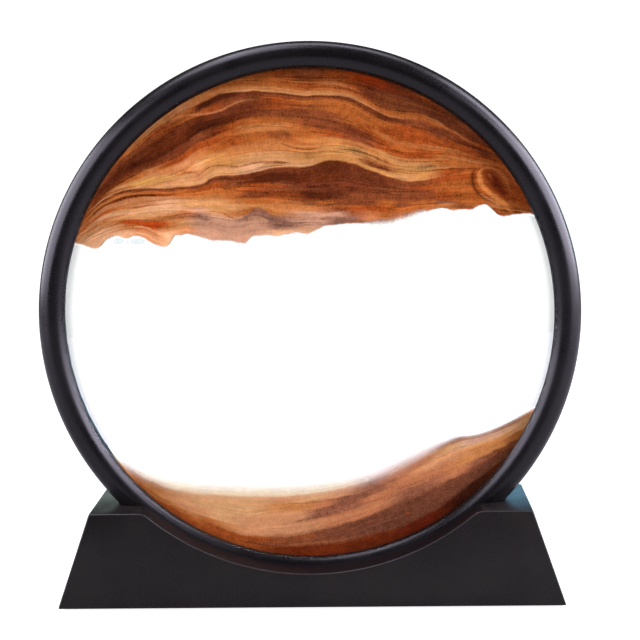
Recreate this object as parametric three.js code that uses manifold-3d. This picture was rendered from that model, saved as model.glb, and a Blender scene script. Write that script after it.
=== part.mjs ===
// Moving sand picture: a round glass cell of coloured sand and liquid in a two-part rim, which stands
// in a grooved base and can be turned in it or lifted out of it. Millimetres, +Z up, front towards -Y.
import * as THREE from 'three';
import { mergeVertices } from 'three/addons/utils/BufferGeometryUtils.js';
import Module from 'manifold-3d';

// Rim of the picture
const frameDiameter = 175.2;
const frameDepth = 19;
const rimWidth = 8.8;
const rearRimWidth = 6.6;
const rimWall = 3.2;
const rimFlatWidth = 9.2;
const crestInset = 4.6;
const lipLand = 0.6;
const tongueThickness = 1.4;
const tongueLength = 2.5;
const snapHeight = 0.25;
const snapHalfWidth = 0.4;
const snapFromParting = 1.5;

// Glass cell
const glassThickness = 2.5;
const glassArris = 0.3;
const cellGap = 5;
const spacerWidth = 3.5;
const spacerInset = 0.5;
const sealThickness = 0.4;
const sealInset = 0.3;
const gasketThickness = 0.5;
const gasketWidth = 2.6;

// Filling plug at the top of the rim
const plugShankRadius = 1.1;
const plugHeadRadius = 1.6;
const plugRecess = 0.3;

// Base
const baseBottomWidth = 162;
const baseTopWidth = 141;
const baseDepth = 46;
const baseHeight = 31.4;
const baseWall = 2.5;
const baseEdgeBevel = 0.5;
const baseFoot = 0.7;
const plateThickness = 2;
const plateMargin = 1.2;
const grooveFloor = 2;
const grooveLap = 6.6;
const shoulderRadius = 3;
const bossRadius = 3;
const bossFromEnd = 29;
const bossFromSide = 9;

// Plate screws and rubber feet
const screwShankRadius = 1.2;
const screwLength = 9;
const screwTip = 1.2;
const screwHeadRadius = 2.4;
const screwHeadHeight = 1;
const screwHeadBevel = 0.3;
const screwHeadRecess = 0.2;
const driveSlotWidth = 0.6;
const driveSlotLength = 2.8;
const driveSlotDepth = 0.5;
const footRadius = 5;
const footThickness = 1.5;
const footBevel = 0.3;
const footFromEnd = 14;
const footFromSide = 8.5;

// Clearances
const seatClearance = 0.3;
const fitClearance = 0.3;
const faceClearance = 0.1;
const sandClearance = 0.3;

// Facets round a full turn: on the large rings, on small turned pieces and on the air bubbles
const ringSegments = 60;
const smallSegments = 16;
const bubbleSegments = 8;

// Steps along curves: a quarter of the rim's arch, a shoulder and the dip of the base, and each span of a bed
const archSteps = 4;
const shoulderSteps = 4;
const dipSteps = 24;
const bedSpanSteps = 3;

// Sizes that follow from the ones above
const frameRadius = frameDiameter / 2;
const crestHeight = frameDepth / 2;
const crestRadius = frameRadius - crestInset;
const rimFlat = rimFlatWidth / 2;
const rimBore = frameRadius - rimWall;
const glassRadius = rimBore - fitClearance;
const glassInside = cellGap / 2;
const glassOutside = glassInside + glassThickness;
const gasketInside = glassOutside + faceClearance;
const gasketOutside = gasketInside + gasketThickness;
const lipUnderside = gasketOutside + faceClearance;
const lipTop = lipUnderside + lipLand;
const spacerOutside = glassRadius - spacerInset;
const cellRadius = spacerOutside - spacerWidth;
const sandRadius = cellRadius - sandClearance;
const sandThickness = cellGap - 2 * faceClearance;
const spacerThickness = cellGap - 2 * sealThickness;
const rebateRadius = rimBore + tongueThickness + fitClearance;
const rebateDepth = tongueLength + fitClearance;
const plateTop = baseFoot + plateThickness;
const grooveBottom = plateTop + grooveFloor;
const frameCentre = grooveBottom + seatClearance + frameRadius;
const landRadius = frameRadius - grooveLap;
const bossX = baseBottomWidth / 2 - bossFromEnd;
const bossY = baseDepth / 2 - bossFromSide;
const footX = baseBottomWidth / 2 - footFromEnd;
const footY = baseDepth / 2 - footFromSide;
const pilotRadius = screwShankRadius + fitClearance;
const screwSeat = baseFoot + screwHeadRecess + screwHeadHeight;

// Colours, roughness and metalness
const finishes = {
  rim: { color: 0x1c1a1e, roughness: 0.38, metalness: 0 },
  base: { color: 0x242223, roughness: 0.45, metalness: 0 },
  plate: { color: 0x1d1c1d, roughness: 0.6, metalness: 0 },
  steel: { color: 0xa9acae, roughness: 0.35, metalness: 0.9 },
  rubber: { color: 0x161616, roughness: 0.9, metalness: 0 },
  glass: { color: 0xf3fbfa, roughness: 0.04, metalness: 0, transparent: true, opacity: 0.15 },
  liquid: { color: 0xf7fdfd, roughness: 0.05, metalness: 0, transparent: true, opacity: 0.1 },
  air: { color: 0xd9f2f2, roughness: 0.05, metalness: 0, transparent: true, opacity: 0.3 },
  gasket: { color: 0x2a2a2a, roughness: 0.8, metalness: 0 },
  silicone: { color: 0xdde2e1, roughness: 0.5, metalness: 0 },
  plug: { color: 0x2b2b2d, roughness: 0.7, metalness: 0 },
  orangeSand: { color: 0xa85a2a, roughness: 0.95, metalness: 0 },
  darkSand: { color: 0x4d2413, roughness: 0.95, metalness: 0 },
  goldSand: { color: 0xc98f52, roughness: 0.95, metalness: 0 },
  umberSand: { color: 0x5a2a18, roughness: 0.95, metalness: 0 },
  rustSand: { color: 0xa04f22, roughness: 0.95, metalness: 0 },
  mauveSand: { color: 0xb98672, roughness: 0.95, metalness: 0 },
  tanSand: { color: 0xc78a55, roughness: 0.95, metalness: 0 },
  brownSand: { color: 0x7a4229, roughness: 0.95, metalness: 0 },
};

// Bedding lines of the sand, as x and z from the centre of the picture, on a grid that meets the edge of
// the sand at bedGridRadius and grows or shrinks with the cell. Each line runs from outside the cell on
// the left to outside it on the right, and they follow one another downwards.
const bedGridRadius = 79.8;
const bedScale = sandRadius / bedGridRadius;
const bedEnd = 82;
const upperBeds = [
  [[-bedEnd, 26], [-66, 43.5], [-57, 51.5], [-48, 58], [-38, 64], [-27, 67.5], [-18, 70.5], [0, 70.3],
    [12, 70], [25, 63.8], [37, 62.4], [48, 57], [60, 51], [bedEnd, 42]],
  [[-bedEnd, 24], [-69, 38], [-60, 43], [-50, 46.8], [-40, 50.5], [-28, 57.5], [-12, 61.5], [2, 61.5],
    [14, 58.5], [25, 54], [45, 51.3], [63, 47.5], [bedEnd, 39]],
  [[-bedEnd, 20], [-72, 32], [-63, 38.8], [-50, 40.8], [-36, 41.6], [-22, 44], [-8, 47], [8, 48.8],
    [18, 47.2], [29, 42.6], [38, 42.2], [50, 45.3], [65, 44], [bedEnd, 34]],
  [[-bedEnd, 17], [-74, 28], [-63, 35.8], [-50, 38.6], [-36, 39.3], [-22, 38.8], [-8, 38], [6, 36.6],
    [20, 37.8], [36, 37.4], [50, 39.2], [68, 39], [bedEnd, 30]],
  [[-bedEnd, 14], [-75.5, 24.5], [-66, 30], [-55, 33.4], [-45, 35], [-33, 34.6], [-22, 31], [-17, 33.4],
    [-8, 30.2], [5, 31.5], [16, 32.6], [30, 32.8], [44, 35.5], [58, 36], [70, 34], [bedEnd, 26]],
];
const hangingEdge = [[-bedEnd, 12], [-77, 21.8], [-70, 21.5], [-62, 26], [-55, 26], [-47, 21.8], [-42, 26.3],
  [-32, 24.5], [-20, 23], [-14, 25.8], [0, 26.5], [12, 29], [25, 28], [44, 33.2], [51, 32.4], [58, 33.8],
  [63, 31], [74, 30.6], [bedEnd, 24]];
const duneTop = [[-bedEnd, -38], [-64, -47.5], [-55, -53.5], [-40, -57.5], [-20, -59], [-4, -58.8],
  [10, -56.5], [22, -53], [36, -46.5], [47, -41.5], [58, -39.2], [71, -33], [bedEnd, -27]];
const duneBeds = [
  [[-bedEnd, -42], [-52, -59], [-44, -64.5], [-33, -70], [-22, -73.2], [-8, -73], [6, -70.5], [20, -66],
    [36, -60.5], [50, -53], [62, -46], [bedEnd, -36]],
  [[-bedEnd, -56], [-40, -71], [-30, -74], [-15, -76.5], [0, -76.2], [12, -75.6], [26, -72.3], [40, -65.5],
    [52, -58], [70, -46], [bedEnd, -40]],
];

// Air bubbles under the hanging sand: x of each on the same grid, and its radius
const bubbles = [[-61.8, 1.7], [-58.9, 1.9], [-56, 1.8], [-53.6, 1.4]];

const wasm = await Module();
wasm.setup();

// A closed geometry as a solid that can be joined and cut
function toSolid(geometry) {
  const bare = geometry.clone();
  bare.deleteAttribute('normal');
  bare.deleteAttribute('uv');
  const welded = mergeVertices(bare);
  const corners = [];
  for (let i = 0; i < welded.index.count; i += 3) {
    const [a, b, c] = [welded.index.getX(i), welded.index.getX(i + 1), welded.index.getX(i + 2)];
    if (a !== b && b !== c && c !== a) {
      corners.push(a, b, c);
    }
  }
  const vertProperties = new Float32Array(welded.attributes.position.array);
  return new wasm.Manifold(new wasm.Mesh({ numProp: 3, vertProperties, triVerts: new Uint32Array(corners) }));
}

// A solid as a geometry again
function toGeometry(solid) {
  const mesh = solid.getMesh();
  const geometry = new THREE.BufferGeometry();
  geometry.setAttribute('position', new THREE.BufferAttribute(mesh.vertProperties, 3));
  geometry.setIndex(new THREE.BufferAttribute(mesh.triVerts, 1));
  geometry.computeVertexNormals();
  return geometry;
}

// Cut every tool out of a solid
function cut(solid, tools) {
  return tools.reduce((rest, tool) => rest.subtract(tool), solid);
}

// Points of a profile as vectors, turned so that a revolved surface faces outwards
function outwards(points) {
  const vectors = points.map(([radius, along]) => new THREE.Vector2(radius, along));
  return THREE.ShapeUtils.isClockWise(vectors) ? vectors.reverse() : vectors;
}

// A ring turned about the picture's axis, from a closed profile of radius and place along Y
function turnedRing(points) {
  const profile = outwards(points);
  profile.push(profile[0].clone());
  return new THREE.LatheGeometry(profile, ringSegments);
}

// A solid of revolution about the picture's axis, from a profile that starts and ends on the axis
function turnedDisc(points) {
  return new THREE.LatheGeometry(points.map(([r, y]) => new THREE.Vector2(r, y)), ringSegments);
}

// A small solid of revolution about an upright axis, from a profile that starts and ends on the axis
function turnedUpright(points) {
  const profile = points.map(([radius, height]) => new THREE.Vector2(radius, height));
  return new THREE.LatheGeometry(profile, smallSegments).rotateX(Math.PI / 2);
}

// A shape drawn in X and Z, given a thickness along Y about the middle plane
function slab(shape, thickness, bevel = 0) {
  const depth = thickness - 2 * bevel;
  const options = { depth, steps: 1, bevelEnabled: bevel > 0, bevelSize: bevel, bevelThickness: bevel,
    bevelOffset: -bevel, bevelSegments: 1 };
  return new THREE.ExtrudeGeometry(shape, options).translate(0, 0, -depth / 2).rotateX(Math.PI / 2);
}

// A round bar along Y through the picture's axis
function barAlongY(radius, length) {
  return new THREE.CylinderGeometry(radius, radius, length, ringSegments);
}

// A small upright cylinder between two heights
function upright(radius, low, high) {
  const bar = new THREE.CylinderGeometry(radius, radius, high - low, smallSegments);
  return bar.rotateX(Math.PI / 2).translate(0, 0, (low + high) / 2);
}

// A block by its half sizes in X and Y and its two heights
function block(halfX, halfY, low, high) {
  return new THREE.BoxGeometry(2 * halfX, 2 * halfY, high - low).translate(0, 0, (low + high) / 2);
}

// A quarter ellipse between two corners of a profile, without its first point
function quarterArch(centre, radii, from, to) {
  const curve = new THREE.EllipseCurve(...centre, ...radii, from, to);
  return curve.getPoints(archSteps).slice(1).map((point) => [point.x, point.y]);
}

// A named mesh with its own material
function piece(name, geometry, finish) {
  const mesh = new THREE.Mesh(geometry, new THREE.MeshStandardMaterial(finish));
  mesh.name = name;
  return mesh;
}

// Outside of one half of the rim, from its parting line over the crest to the lip, as radius and depth.
// width is how far the half reaches inwards.
function rimOutside(width) {
  const right = Math.PI / 2;
  return [
    [frameRadius, 0],
    [frameRadius, rimFlat],
    ...quarterArch([crestRadius, rimFlat], [crestInset, crestHeight - rimFlat], 0, right),
    ...quarterArch([crestRadius, lipTop], [width - crestInset, crestHeight - lipTop], right, Math.PI),
    [frameRadius - width, lipUnderside],
    [rimBore, lipUnderside],
  ];
}

// Hole through the top of the rim, in which the filling plug's head sits
function plugPassage() {
  return toSolid(upright(plugHeadRadius + fitClearance, cellRadius, frameRadius + plugHeadRadius));
}

// Front half of the rim, with a tongue that clips into the rear half
function frontRim() {
  const tongueRadius = rimBore + tongueThickness;
  const profile = [
    ...rimOutside(rimWidth),
    [rimBore, -tongueLength],
    [tongueRadius, -tongueLength],
    [tongueRadius, -snapFromParting - snapHalfWidth],
    [tongueRadius + snapHeight, -snapFromParting],
    [tongueRadius, -snapFromParting + snapHalfWidth],
    [tongueRadius, 0],
  ];
  const ring = toSolid(turnedRing(profile.map(([radius, depth]) => [radius, -depth])));
  return piece('front_rim', toGeometry(cut(ring, [plugPassage()])), finishes.rim);
}

// Rear half of the rim, with the rebate and the snap groove that take the tongue
function rearRim() {
  const profile = [
    ...rimOutside(rearRimWidth),
    [rimBore, rebateDepth],
    [rebateRadius, rebateDepth],
    [rebateRadius, snapFromParting + snapHalfWidth],
    [rebateRadius + snapHeight, snapFromParting],
    [rebateRadius, snapFromParting - snapHalfWidth],
    [rebateRadius, 0],
  ];
  const ring = toSolid(turnedRing(profile));
  return piece('rear_rim', toGeometry(cut(ring, [plugPassage()])), finishes.rim);
}

// A flat ring between two radii and two places along Y
function flatRing(inside, outside, start, end) {
  return turnedRing([[inside, start], [outside, start], [outside, end], [inside, end]]);
}

// One pane of the cell, with its sharp edges taken off. side is -1 in front and 1 behind.
function pane(name, side) {
  const [near, far] = [side * glassInside, side * glassOutside].sort((a, b) => a - b);
  const disc = turnedDisc([
    [0, near],
    [glassRadius - glassArris, near],
    [glassRadius, near + glassArris],
    [glassRadius, far - glassArris],
    [glassRadius - glassArris, far],
    [0, far],
  ]);
  return piece(name, disc, finishes.glass);
}

// Soft ring between a rim's lip and its pane
function gasket(name, side) {
  const outside = rimBore - fitClearance;
  const ring = flatRing(outside - gasketWidth, outside, side * gasketInside, side * gasketOutside);
  return piece(name, ring, finishes.gasket);
}

// Silicone seal between the spacer and a pane
function seal(name, side) {
  const start = side * (spacerThickness / 2);
  const ring = flatRing(cellRadius + sealInset, spacerOutside - sealInset, start, side * glassInside);
  return piece(name, ring, finishes.silicone);
}

// Ring that holds the panes apart, with the filling hole at the top
function spacer() {
  const ring = toSolid(flatRing(cellRadius, spacerOutside, -spacerThickness / 2, spacerThickness / 2));
  const hole = toSolid(upright(plugShankRadius + fitClearance, sandRadius, glassRadius));
  return piece('spacer_ring', toGeometry(cut(ring, [hole])), finishes.silicone);
}

// Plug of the filling hole, its head just below the rim's outside
function fillPlug() {
  const inner = cellRadius + faceClearance;
  const step = spacerOutside + fitClearance;
  const outer = frameRadius - plugRecess;
  const shape = turnedUpright([
    [0, inner],
    [plugShankRadius, inner],
    [plugShankRadius, step],
    [plugHeadRadius, step],
    [plugHeadRadius, outer],
    [0, outer],
  ]);
  return piece('fill_plug', shape, finishes.plug);
}

// A smooth bedding line through its points
function bedLine(points) {
  const curve = new THREE.SplineCurve(points.map(([x, z]) => new THREE.Vector2(x * bedScale, z * bedScale)));
  return curve.getPoints(bedSpanSteps * (points.length - 1));
}

// The space between two bedding lines inside the cell. The lower line stays a clearance away.
function layerSolid(upperLine, lowerLine) {
  const raised = lowerLine.map((point) => new THREE.Vector2(point.x, point.y + sandClearance));
  const band = toSolid(slab(new THREE.Shape([...raised, ...upperLine.toReversed()]), sandThickness));
  return band.intersect(toSolid(barAlongY(sandRadius, cellGap)));
}

// A line just outside the cell, above or below all of it
function outsideLine(height) {
  return [-bedEnd, bedEnd].map((x) => new THREE.Vector2(x * bedScale, height * bedScale));
}

// Height of a bedding line at a given x
function heightAt(line, x) {
  const next = line.findIndex((point) => point.x > x);
  const [a, b] = [line[next - 1], line[next]];
  return THREE.MathUtils.mapLinear(x, a.x, b.x, a.y, b.y);
}

// Centre and radius of each air bubble, hanging from the edge of the sand above it
function bubblePlaces() {
  const edge = bedLine(hangingEdge);
  return bubbles.map(([gridX, radius]) => {
    const x = gridX * bedScale;
    return { x, z: heightAt(edge, x) - radius, radius };
  });
}

// Air bubbles as one body, grown by a given clearance
function bubbleSolid(growth) {
  const balls = bubblePlaces().map(({ x, z, radius }) => {
    const ball = new THREE.SphereGeometry(radius + growth, bubbleSegments, bubbleSegments / 2);
    return toSolid(ball.translate(x, 0, z));
  });
  return balls.reduce((whole, ball) => whole.add(ball));
}

// Pocket that the bubbles leave in the liquid, open upwards to the sand
function bubblePocket() {
  const mouths = bubblePlaces().map(({ x, z, radius }) =>
    toSolid(upright(radius + sandClearance, z, z + 2 * radius).translate(x, 0, 0)));
  return mouths.reduce((whole, mouth) => whole.add(mouth), bubbleSolid(sandClearance));
}

// Layers of sand that hang at the top of the cell
function hangingSand() {
  const names = ['sand_cap_layer', 'sand_dark_layer', 'sand_gold_layer', 'sand_umber_layer',
    'sand_rust_layer', 'sand_fringe_layer'];
  const tints = [finishes.orangeSand, finishes.darkSand, finishes.goldSand, finishes.umberSand,
    finishes.rustSand, finishes.mauveSand];
  const lines = [outsideLine(bedEnd), ...upperBeds.map(bedLine), bedLine(hangingEdge)];
  const hollows = bubbleSolid(sandClearance);
  return names.map((name, i) => {
    const layer = layerSolid(lines[i], lines[i + 1]).subtract(hollows);
    return piece(name, toGeometry(layer), tints[i]);
  });
}

// Layers of the dune that has run down to the bottom of the cell
function settledSand() {
  const names = ['dune_tan_layer', 'dune_brown_layer', 'dune_rust_layer'];
  const tints = [finishes.tanSand, finishes.brownSand, finishes.rustSand];
  const lines = [bedLine(duneTop), ...duneBeds.map(bedLine), outsideLine(-bedEnd)];
  return names.map((name, i) => piece(name, toGeometry(layerSolid(lines[i], lines[i + 1])), tints[i]));
}

// Clear liquid between the hanging sand and the dune, less the air bubbles in it
function liquid() {
  const lowered = bedLine(hangingEdge).map((point) => new THREE.Vector2(point.x, point.y - sandClearance));
  const body = layerSolid(lowered, bedLine(duneTop));
  return piece('clear_liquid', toGeometry(body.subtract(bubblePocket())), finishes.liquid);
}

// Outline of the base from the front: a trapezium with a dip for the rim, rounded where the dip starts
function baseOutline() {
  const [bottom, top] = [baseBottomWidth / 2, baseTopWidth / 2];
  const roundZ = baseHeight - shoulderRadius;
  const roundDrop = frameCentre - roundZ;
  const roundX = Math.sqrt((landRadius + shoulderRadius) ** 2 - roundDrop ** 2);
  const meet = Math.atan2(-roundDrop, roundX);
  const shape = new THREE.Shape();
  shape.moveTo(-bottom, baseFoot);
  shape.lineTo(bottom, baseFoot);
  shape.lineTo(top, baseHeight);
  shape.lineTo(roundX, baseHeight);
  for (let i = 1; i <= shoulderSteps; i += 1) {
    const turn = THREE.MathUtils.lerp(Math.PI / 2, Math.PI + meet, i / shoulderSteps);
    shape.lineTo(roundX + shoulderRadius * Math.cos(turn), roundZ + shoulderRadius * Math.sin(turn));
  }
  for (let i = 1; i < dipSteps; i += 1) {
    const turn = THREE.MathUtils.lerp(meet, -Math.PI - meet, i / dipSteps);
    shape.lineTo(landRadius * Math.cos(turn), frameCentre + landRadius * Math.sin(turn));
  }
  for (let i = shoulderSteps; i >= 0; i -= 1) {
    const turn = THREE.MathUtils.lerp(Math.PI / 2, -meet, i / shoulderSteps);
    shape.lineTo(-roundX + shoulderRadius * Math.cos(turn), roundZ + shoulderRadius * Math.sin(turn));
  }
  shape.lineTo(-top, baseHeight);
  return shape;
}

// The rim's outside, grown by a clearance, as the tool that cuts its groove
function grooveTool(clearance) {
  const end = crestHeight + clearance;
  const radii = [crestInset + clearance, end - rimFlat];
  const arch = [
    [frameRadius + clearance, rimFlat],
    ...quarterArch([crestRadius, rimFlat], radii, 0, Math.PI / 2),
  ];
  const mirrored = arch.map(([radius, depth]) => [radius, -depth]).reverse();
  return toSolid(turnedDisc([[0, -end], ...mirrored, ...arch, [0, end]]).translate(0, 0, frameCentre));
}

// Places of the four fasteners or feet, right and left, front and back
function corners(x, y) {
  return [[-x, -y], [x, -y], [-x, y], [x, y]];
}

// Hollow of the base: the outline less its wall, kept clear of the groove, its landings and the bosses
function baseHollow() {
  const [bottom, top] = [baseBottomWidth / 2 - baseWall, baseTopWidth / 2 - baseWall];
  const ceiling = baseHeight - baseWall;
  const shape = new THREE.Shape();
  shape.moveTo(-bottom, baseFoot);
  shape.lineTo(bottom, baseFoot);
  shape.lineTo(top, ceiling);
  shape.lineTo(-top, ceiling);
  const landing = toSolid(barAlongY(landRadius + baseWall, baseDepth).translate(0, 0, frameCentre));
  const bosses = corners(bossX, bossY).map(([x, y]) =>
    toSolid(upright(bossRadius, 0, baseHeight).translate(x, y, 0)));
  const space = toSolid(slab(shape, baseDepth - 2 * baseWall));
  const floor = toSolid(block(baseBottomWidth, baseDepth, 0, plateTop));
  return cut(space, [landing, grooveTool(seatClearance + grooveFloor), floor, ...bosses]);
}

// Moulded base with its groove, its hollow, a rebate for the bottom plate and pilot holes in its bosses
function baseShell() {
  const body = toSolid(slab(baseOutline(), baseDepth, baseEdgeBevel));
  const [rebateX, rebateY] = [baseBottomWidth / 2 - plateMargin, baseDepth / 2 - plateMargin];
  const rebate = toSolid(block(rebateX, rebateY, 0, plateTop));
  const pilotTop = screwSeat + screwLength + fitClearance;
  const pilots = corners(bossX, bossY).map(([x, y]) =>
    toSolid(upright(pilotRadius, 0, pilotTop).translate(x, y, 0)));
  const shell = cut(body, [grooveTool(seatClearance), baseHollow(), rebate, ...pilots]);
  return piece('base_shell', toGeometry(shell), finishes.base);
}

// Plate that closes the base from below, with counterbored screw holes and seats for the feet
function basePlate() {
  const halfX = baseBottomWidth / 2 - plateMargin - fitClearance;
  const halfY = baseDepth / 2 - plateMargin - fitClearance;
  const holes = corners(bossX, bossY).flatMap(([x, y]) => [
    toSolid(upright(pilotRadius, 0, plateTop + fitClearance).translate(x, y, 0)),
    toSolid(upright(screwHeadRadius + fitClearance, 0, screwSeat).translate(x, y, 0)),
  ]);
  const seats = corners(footX, footY).map(([x, y]) =>
    toSolid(upright(footRadius + fitClearance, 0, footThickness).translate(x, y, 0)));
  const plate = toSolid(block(halfX, halfY, baseFoot, plateTop));
  return piece('base_plate', toGeometry(cut(plate, [...holes, ...seats])), finishes.plate);
}

// Screw that holds the plate to a boss, its cross-slotted head facing down
function plateScrew(name, x, y) {
  const low = screwSeat - screwHeadHeight;
  const shape = toSolid(turnedUpright([
    [0, low],
    [screwHeadRadius - screwHeadBevel, low],
    [screwHeadRadius, low + screwHeadBevel],
    [screwHeadRadius, screwSeat],
    [screwShankRadius, screwSeat],
    [screwShankRadius, screwSeat + screwLength - screwTip],
    [0, screwSeat + screwLength],
  ]));
  const [halfLong, halfWide] = [driveSlotLength / 2, driveSlotWidth / 2];
  const slots = [[halfLong, halfWide], [halfWide, halfLong]].map(([halfX, halfY]) =>
    toSolid(block(halfX, halfY, 0, low + driveSlotDepth)));
  return piece(name, toGeometry(cut(shape, slots)).translate(x, y, 0), finishes.steel);
}

// Rubber foot, set into the plate and standing proud of it
function foot(name, x, y) {
  const shape = turnedUpright([
    [0, 0],
    [footRadius - footBevel, 0],
    [footRadius, footBevel],
    [footRadius, footThickness],
    [0, footThickness],
  ]);
  return piece(name, shape.translate(x, y, 0), finishes.rubber);
}

// Everything that stays on the table
function baseGroup() {
  const group = new THREE.Group();
  group.add(baseShell(), basePlate());
  const places = ['front_left', 'front_right', 'rear_left', 'rear_right'];
  corners(bossX, bossY).forEach(([x, y], i) => group.add(plateScrew(`plate_screw_${places[i]}`, x, y)));
  corners(footX, footY).forEach(([x, y], i) => group.add(foot(`foot_${places[i]}`, x, y)));
  return group;
}

// The picture, which turns about its own axis and lifts out of the base
function pictureGroup() {
  const group = new THREE.Group();
  group.add(
    frontRim(),
    rearRim(),
    pane('front_glass', -1),
    pane('rear_glass', 1),
    gasket('front_gasket', -1),
    gasket('rear_gasket', 1),
    seal('front_seal', -1),
    seal('rear_seal', 1),
    spacer(),
    fillPlug(),
    ...hangingSand(),
    ...settledSand(),
    liquid(),
    piece('air_bubbles', toGeometry(bubbleSolid(0)), finishes.air),
  );
  group.position.z = frameCentre;
  return group;
}

const sandPicture = new THREE.Group();
sandPicture.add(baseGroup(), pictureGroup());

export default sandPicture;
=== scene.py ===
"""Looks of a round moving sand picture: two panes with coloured sand and clear liquid between them, in a
black two-part rim that stands in a black moulded base. Metres, +Z up, front towards -Y."""

import logging
import math
from collections.abc import Callable
from dataclasses import dataclass
from enum import Enum
from typing import Union

import bpy
import numpy as np
from mathutils import Matrix, Vector


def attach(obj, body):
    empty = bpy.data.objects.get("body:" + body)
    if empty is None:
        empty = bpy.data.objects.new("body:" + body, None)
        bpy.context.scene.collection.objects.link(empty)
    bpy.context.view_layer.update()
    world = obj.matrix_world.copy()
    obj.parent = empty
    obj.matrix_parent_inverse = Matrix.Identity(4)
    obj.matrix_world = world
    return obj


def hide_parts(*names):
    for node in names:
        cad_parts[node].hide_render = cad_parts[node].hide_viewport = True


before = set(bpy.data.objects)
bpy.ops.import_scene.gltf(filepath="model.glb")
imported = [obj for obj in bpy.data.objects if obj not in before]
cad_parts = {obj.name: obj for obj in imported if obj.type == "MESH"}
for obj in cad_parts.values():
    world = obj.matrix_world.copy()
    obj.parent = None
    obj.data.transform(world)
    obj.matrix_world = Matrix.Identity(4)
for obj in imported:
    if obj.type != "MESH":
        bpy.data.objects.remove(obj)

MM = 0.001
FULL_TURN = 2 * math.pi
CENTRE = 92.6
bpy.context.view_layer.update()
log = logging.getLogger("sand_picture")

Point = tuple[float, float]
Place = tuple[float, float, float]
Bed = tuple[str, str, int]
Wave = tuple[float, float, float, int]
Piece = bpy.types.Object
Socket = bpy.types.NodeSocket
Value = Union[Socket, float, tuple]


class Tone(Enum):
    """Colours of sand in the cell, as display colours."""

    BUFF = "d2a27e"
    TAN = "c69162"
    GOLD = "c1884f"
    PEACH = "bd8057"
    CLAY = "b06c46"
    AMBER = "b47341"
    ORANGE = "a85e2b"
    RUST = "95471d"
    RED = "a63c10"
    BROWN = "7e4326"
    CHESTNUT = "68321c"
    UMBER = "5a2812"
    DARK = "421b0c"
    MAUVE = "b98d76"
    SLATE = "835d50"
    OLIVE = "a17849"
    WINE = "5a1c09"
    STRAW = "c69a56"
    LOOP = "cf8346"
    COCOA = "865038"
    SEPIA = "6a3a26"
    EMBER = "66260d"
    CREAM = "dcc49a"

    def light(self) -> np.ndarray:
        """Returns the tone as linear light."""
        return linear(self.value)


class Side(Enum):
    """Which half of the picture a piece belongs to, as the sign of its Y."""

    FRONT = -1
    REAR = 1

    def label(self) -> str:
        """Returns the word that the names of this half's pieces begin with."""
        return self.name.lower()


def linear(code: str) -> np.ndarray:
    """A display colour as linear light.

    Args:
        code: six hexadecimal digits.

    Returns:
        Red, green and blue.
    """
    shown = np.array([int(code[k:k + 2], 16) / 255 for k in (0, 2, 4)])
    return np.where(shown <= 0.04045, shown / 12.92, ((shown + 0.055) / 1.055) ** 2.4)


def rgba(code: str) -> tuple[float, float, float, float]:
    """A display colour as a socket's value.

    Args:
        code: six hexadecimal digits.

    Returns:
        Linear red, green, blue and full alpha.
    """
    red, green, blue = linear(code)
    return float(red), float(green), float(blue), 1.0


def smoothstep(low: float, high: float, value: np.ndarray) -> np.ndarray:
    """A soft step from 0 at low to 1 at high.

    Args:
        low: where the step starts.
        high: where it ends.
        value: places to read it at.

    Returns:
        The step at those places.
    """
    t = np.clip((value - low) / (high - low), 0, 1)
    return t * t * (3 - 2 * t)


class Chance:
    """Repeatable wandering values, the same on every run."""

    @staticmethod
    def lattice(column: np.ndarray, row: np.ndarray, seed: int) -> np.ndarray:
        """A value from -1 to 1 for each crossing of a square grid.

        Args:
            column: whole numbers along the grid.
            row: whole numbers across it.
            seed: which grid.

        Returns:
            One value for each crossing.
        """
        mixed = (column * 374761393 + row * 668265263 + seed * 974634721) & 0xFFFFFFFF
        mixed = ((mixed ^ (mixed >> 13)) * 1274126177) & 0xFFFFFFFF
        return ((mixed ^ (mixed >> 16)) & 0xFFFF) / 32767.5 - 1.0

    @classmethod
    def drift(cls, x: np.ndarray, y: np.ndarray, seed: int) -> np.ndarray:
        """A smooth field from -1 to 1 with one swing for each unit.

        Args:
            x: places along.
            y: places across.
            seed: which field.

        Returns:
            The field at those places.
        """
        column, row = np.floor(x).astype(np.int64), np.floor(y).astype(np.int64)
        u, v = smoothstep(0, 1, x - column), smoothstep(0, 1, y - row)
        low = cls.lattice(column, row, seed) * (1 - u) + cls.lattice(column + 1, row, seed) * u
        high = cls.lattice(column, row + 1, seed) * (1 - u) + cls.lattice(column + 1, row + 1, seed) * u
        return low * (1 - v) + high * v

    @classmethod
    def ripple(cls, x: np.ndarray, y: np.ndarray, seed: int) -> np.ndarray:
        """Three fields of falling size on top of one another, from about -1 to 1."""
        return sum(cls.drift(x * 2 ** k, y * 2 ** k, seed + k) / 2 ** k for k in range(3)) / 1.75


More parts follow.
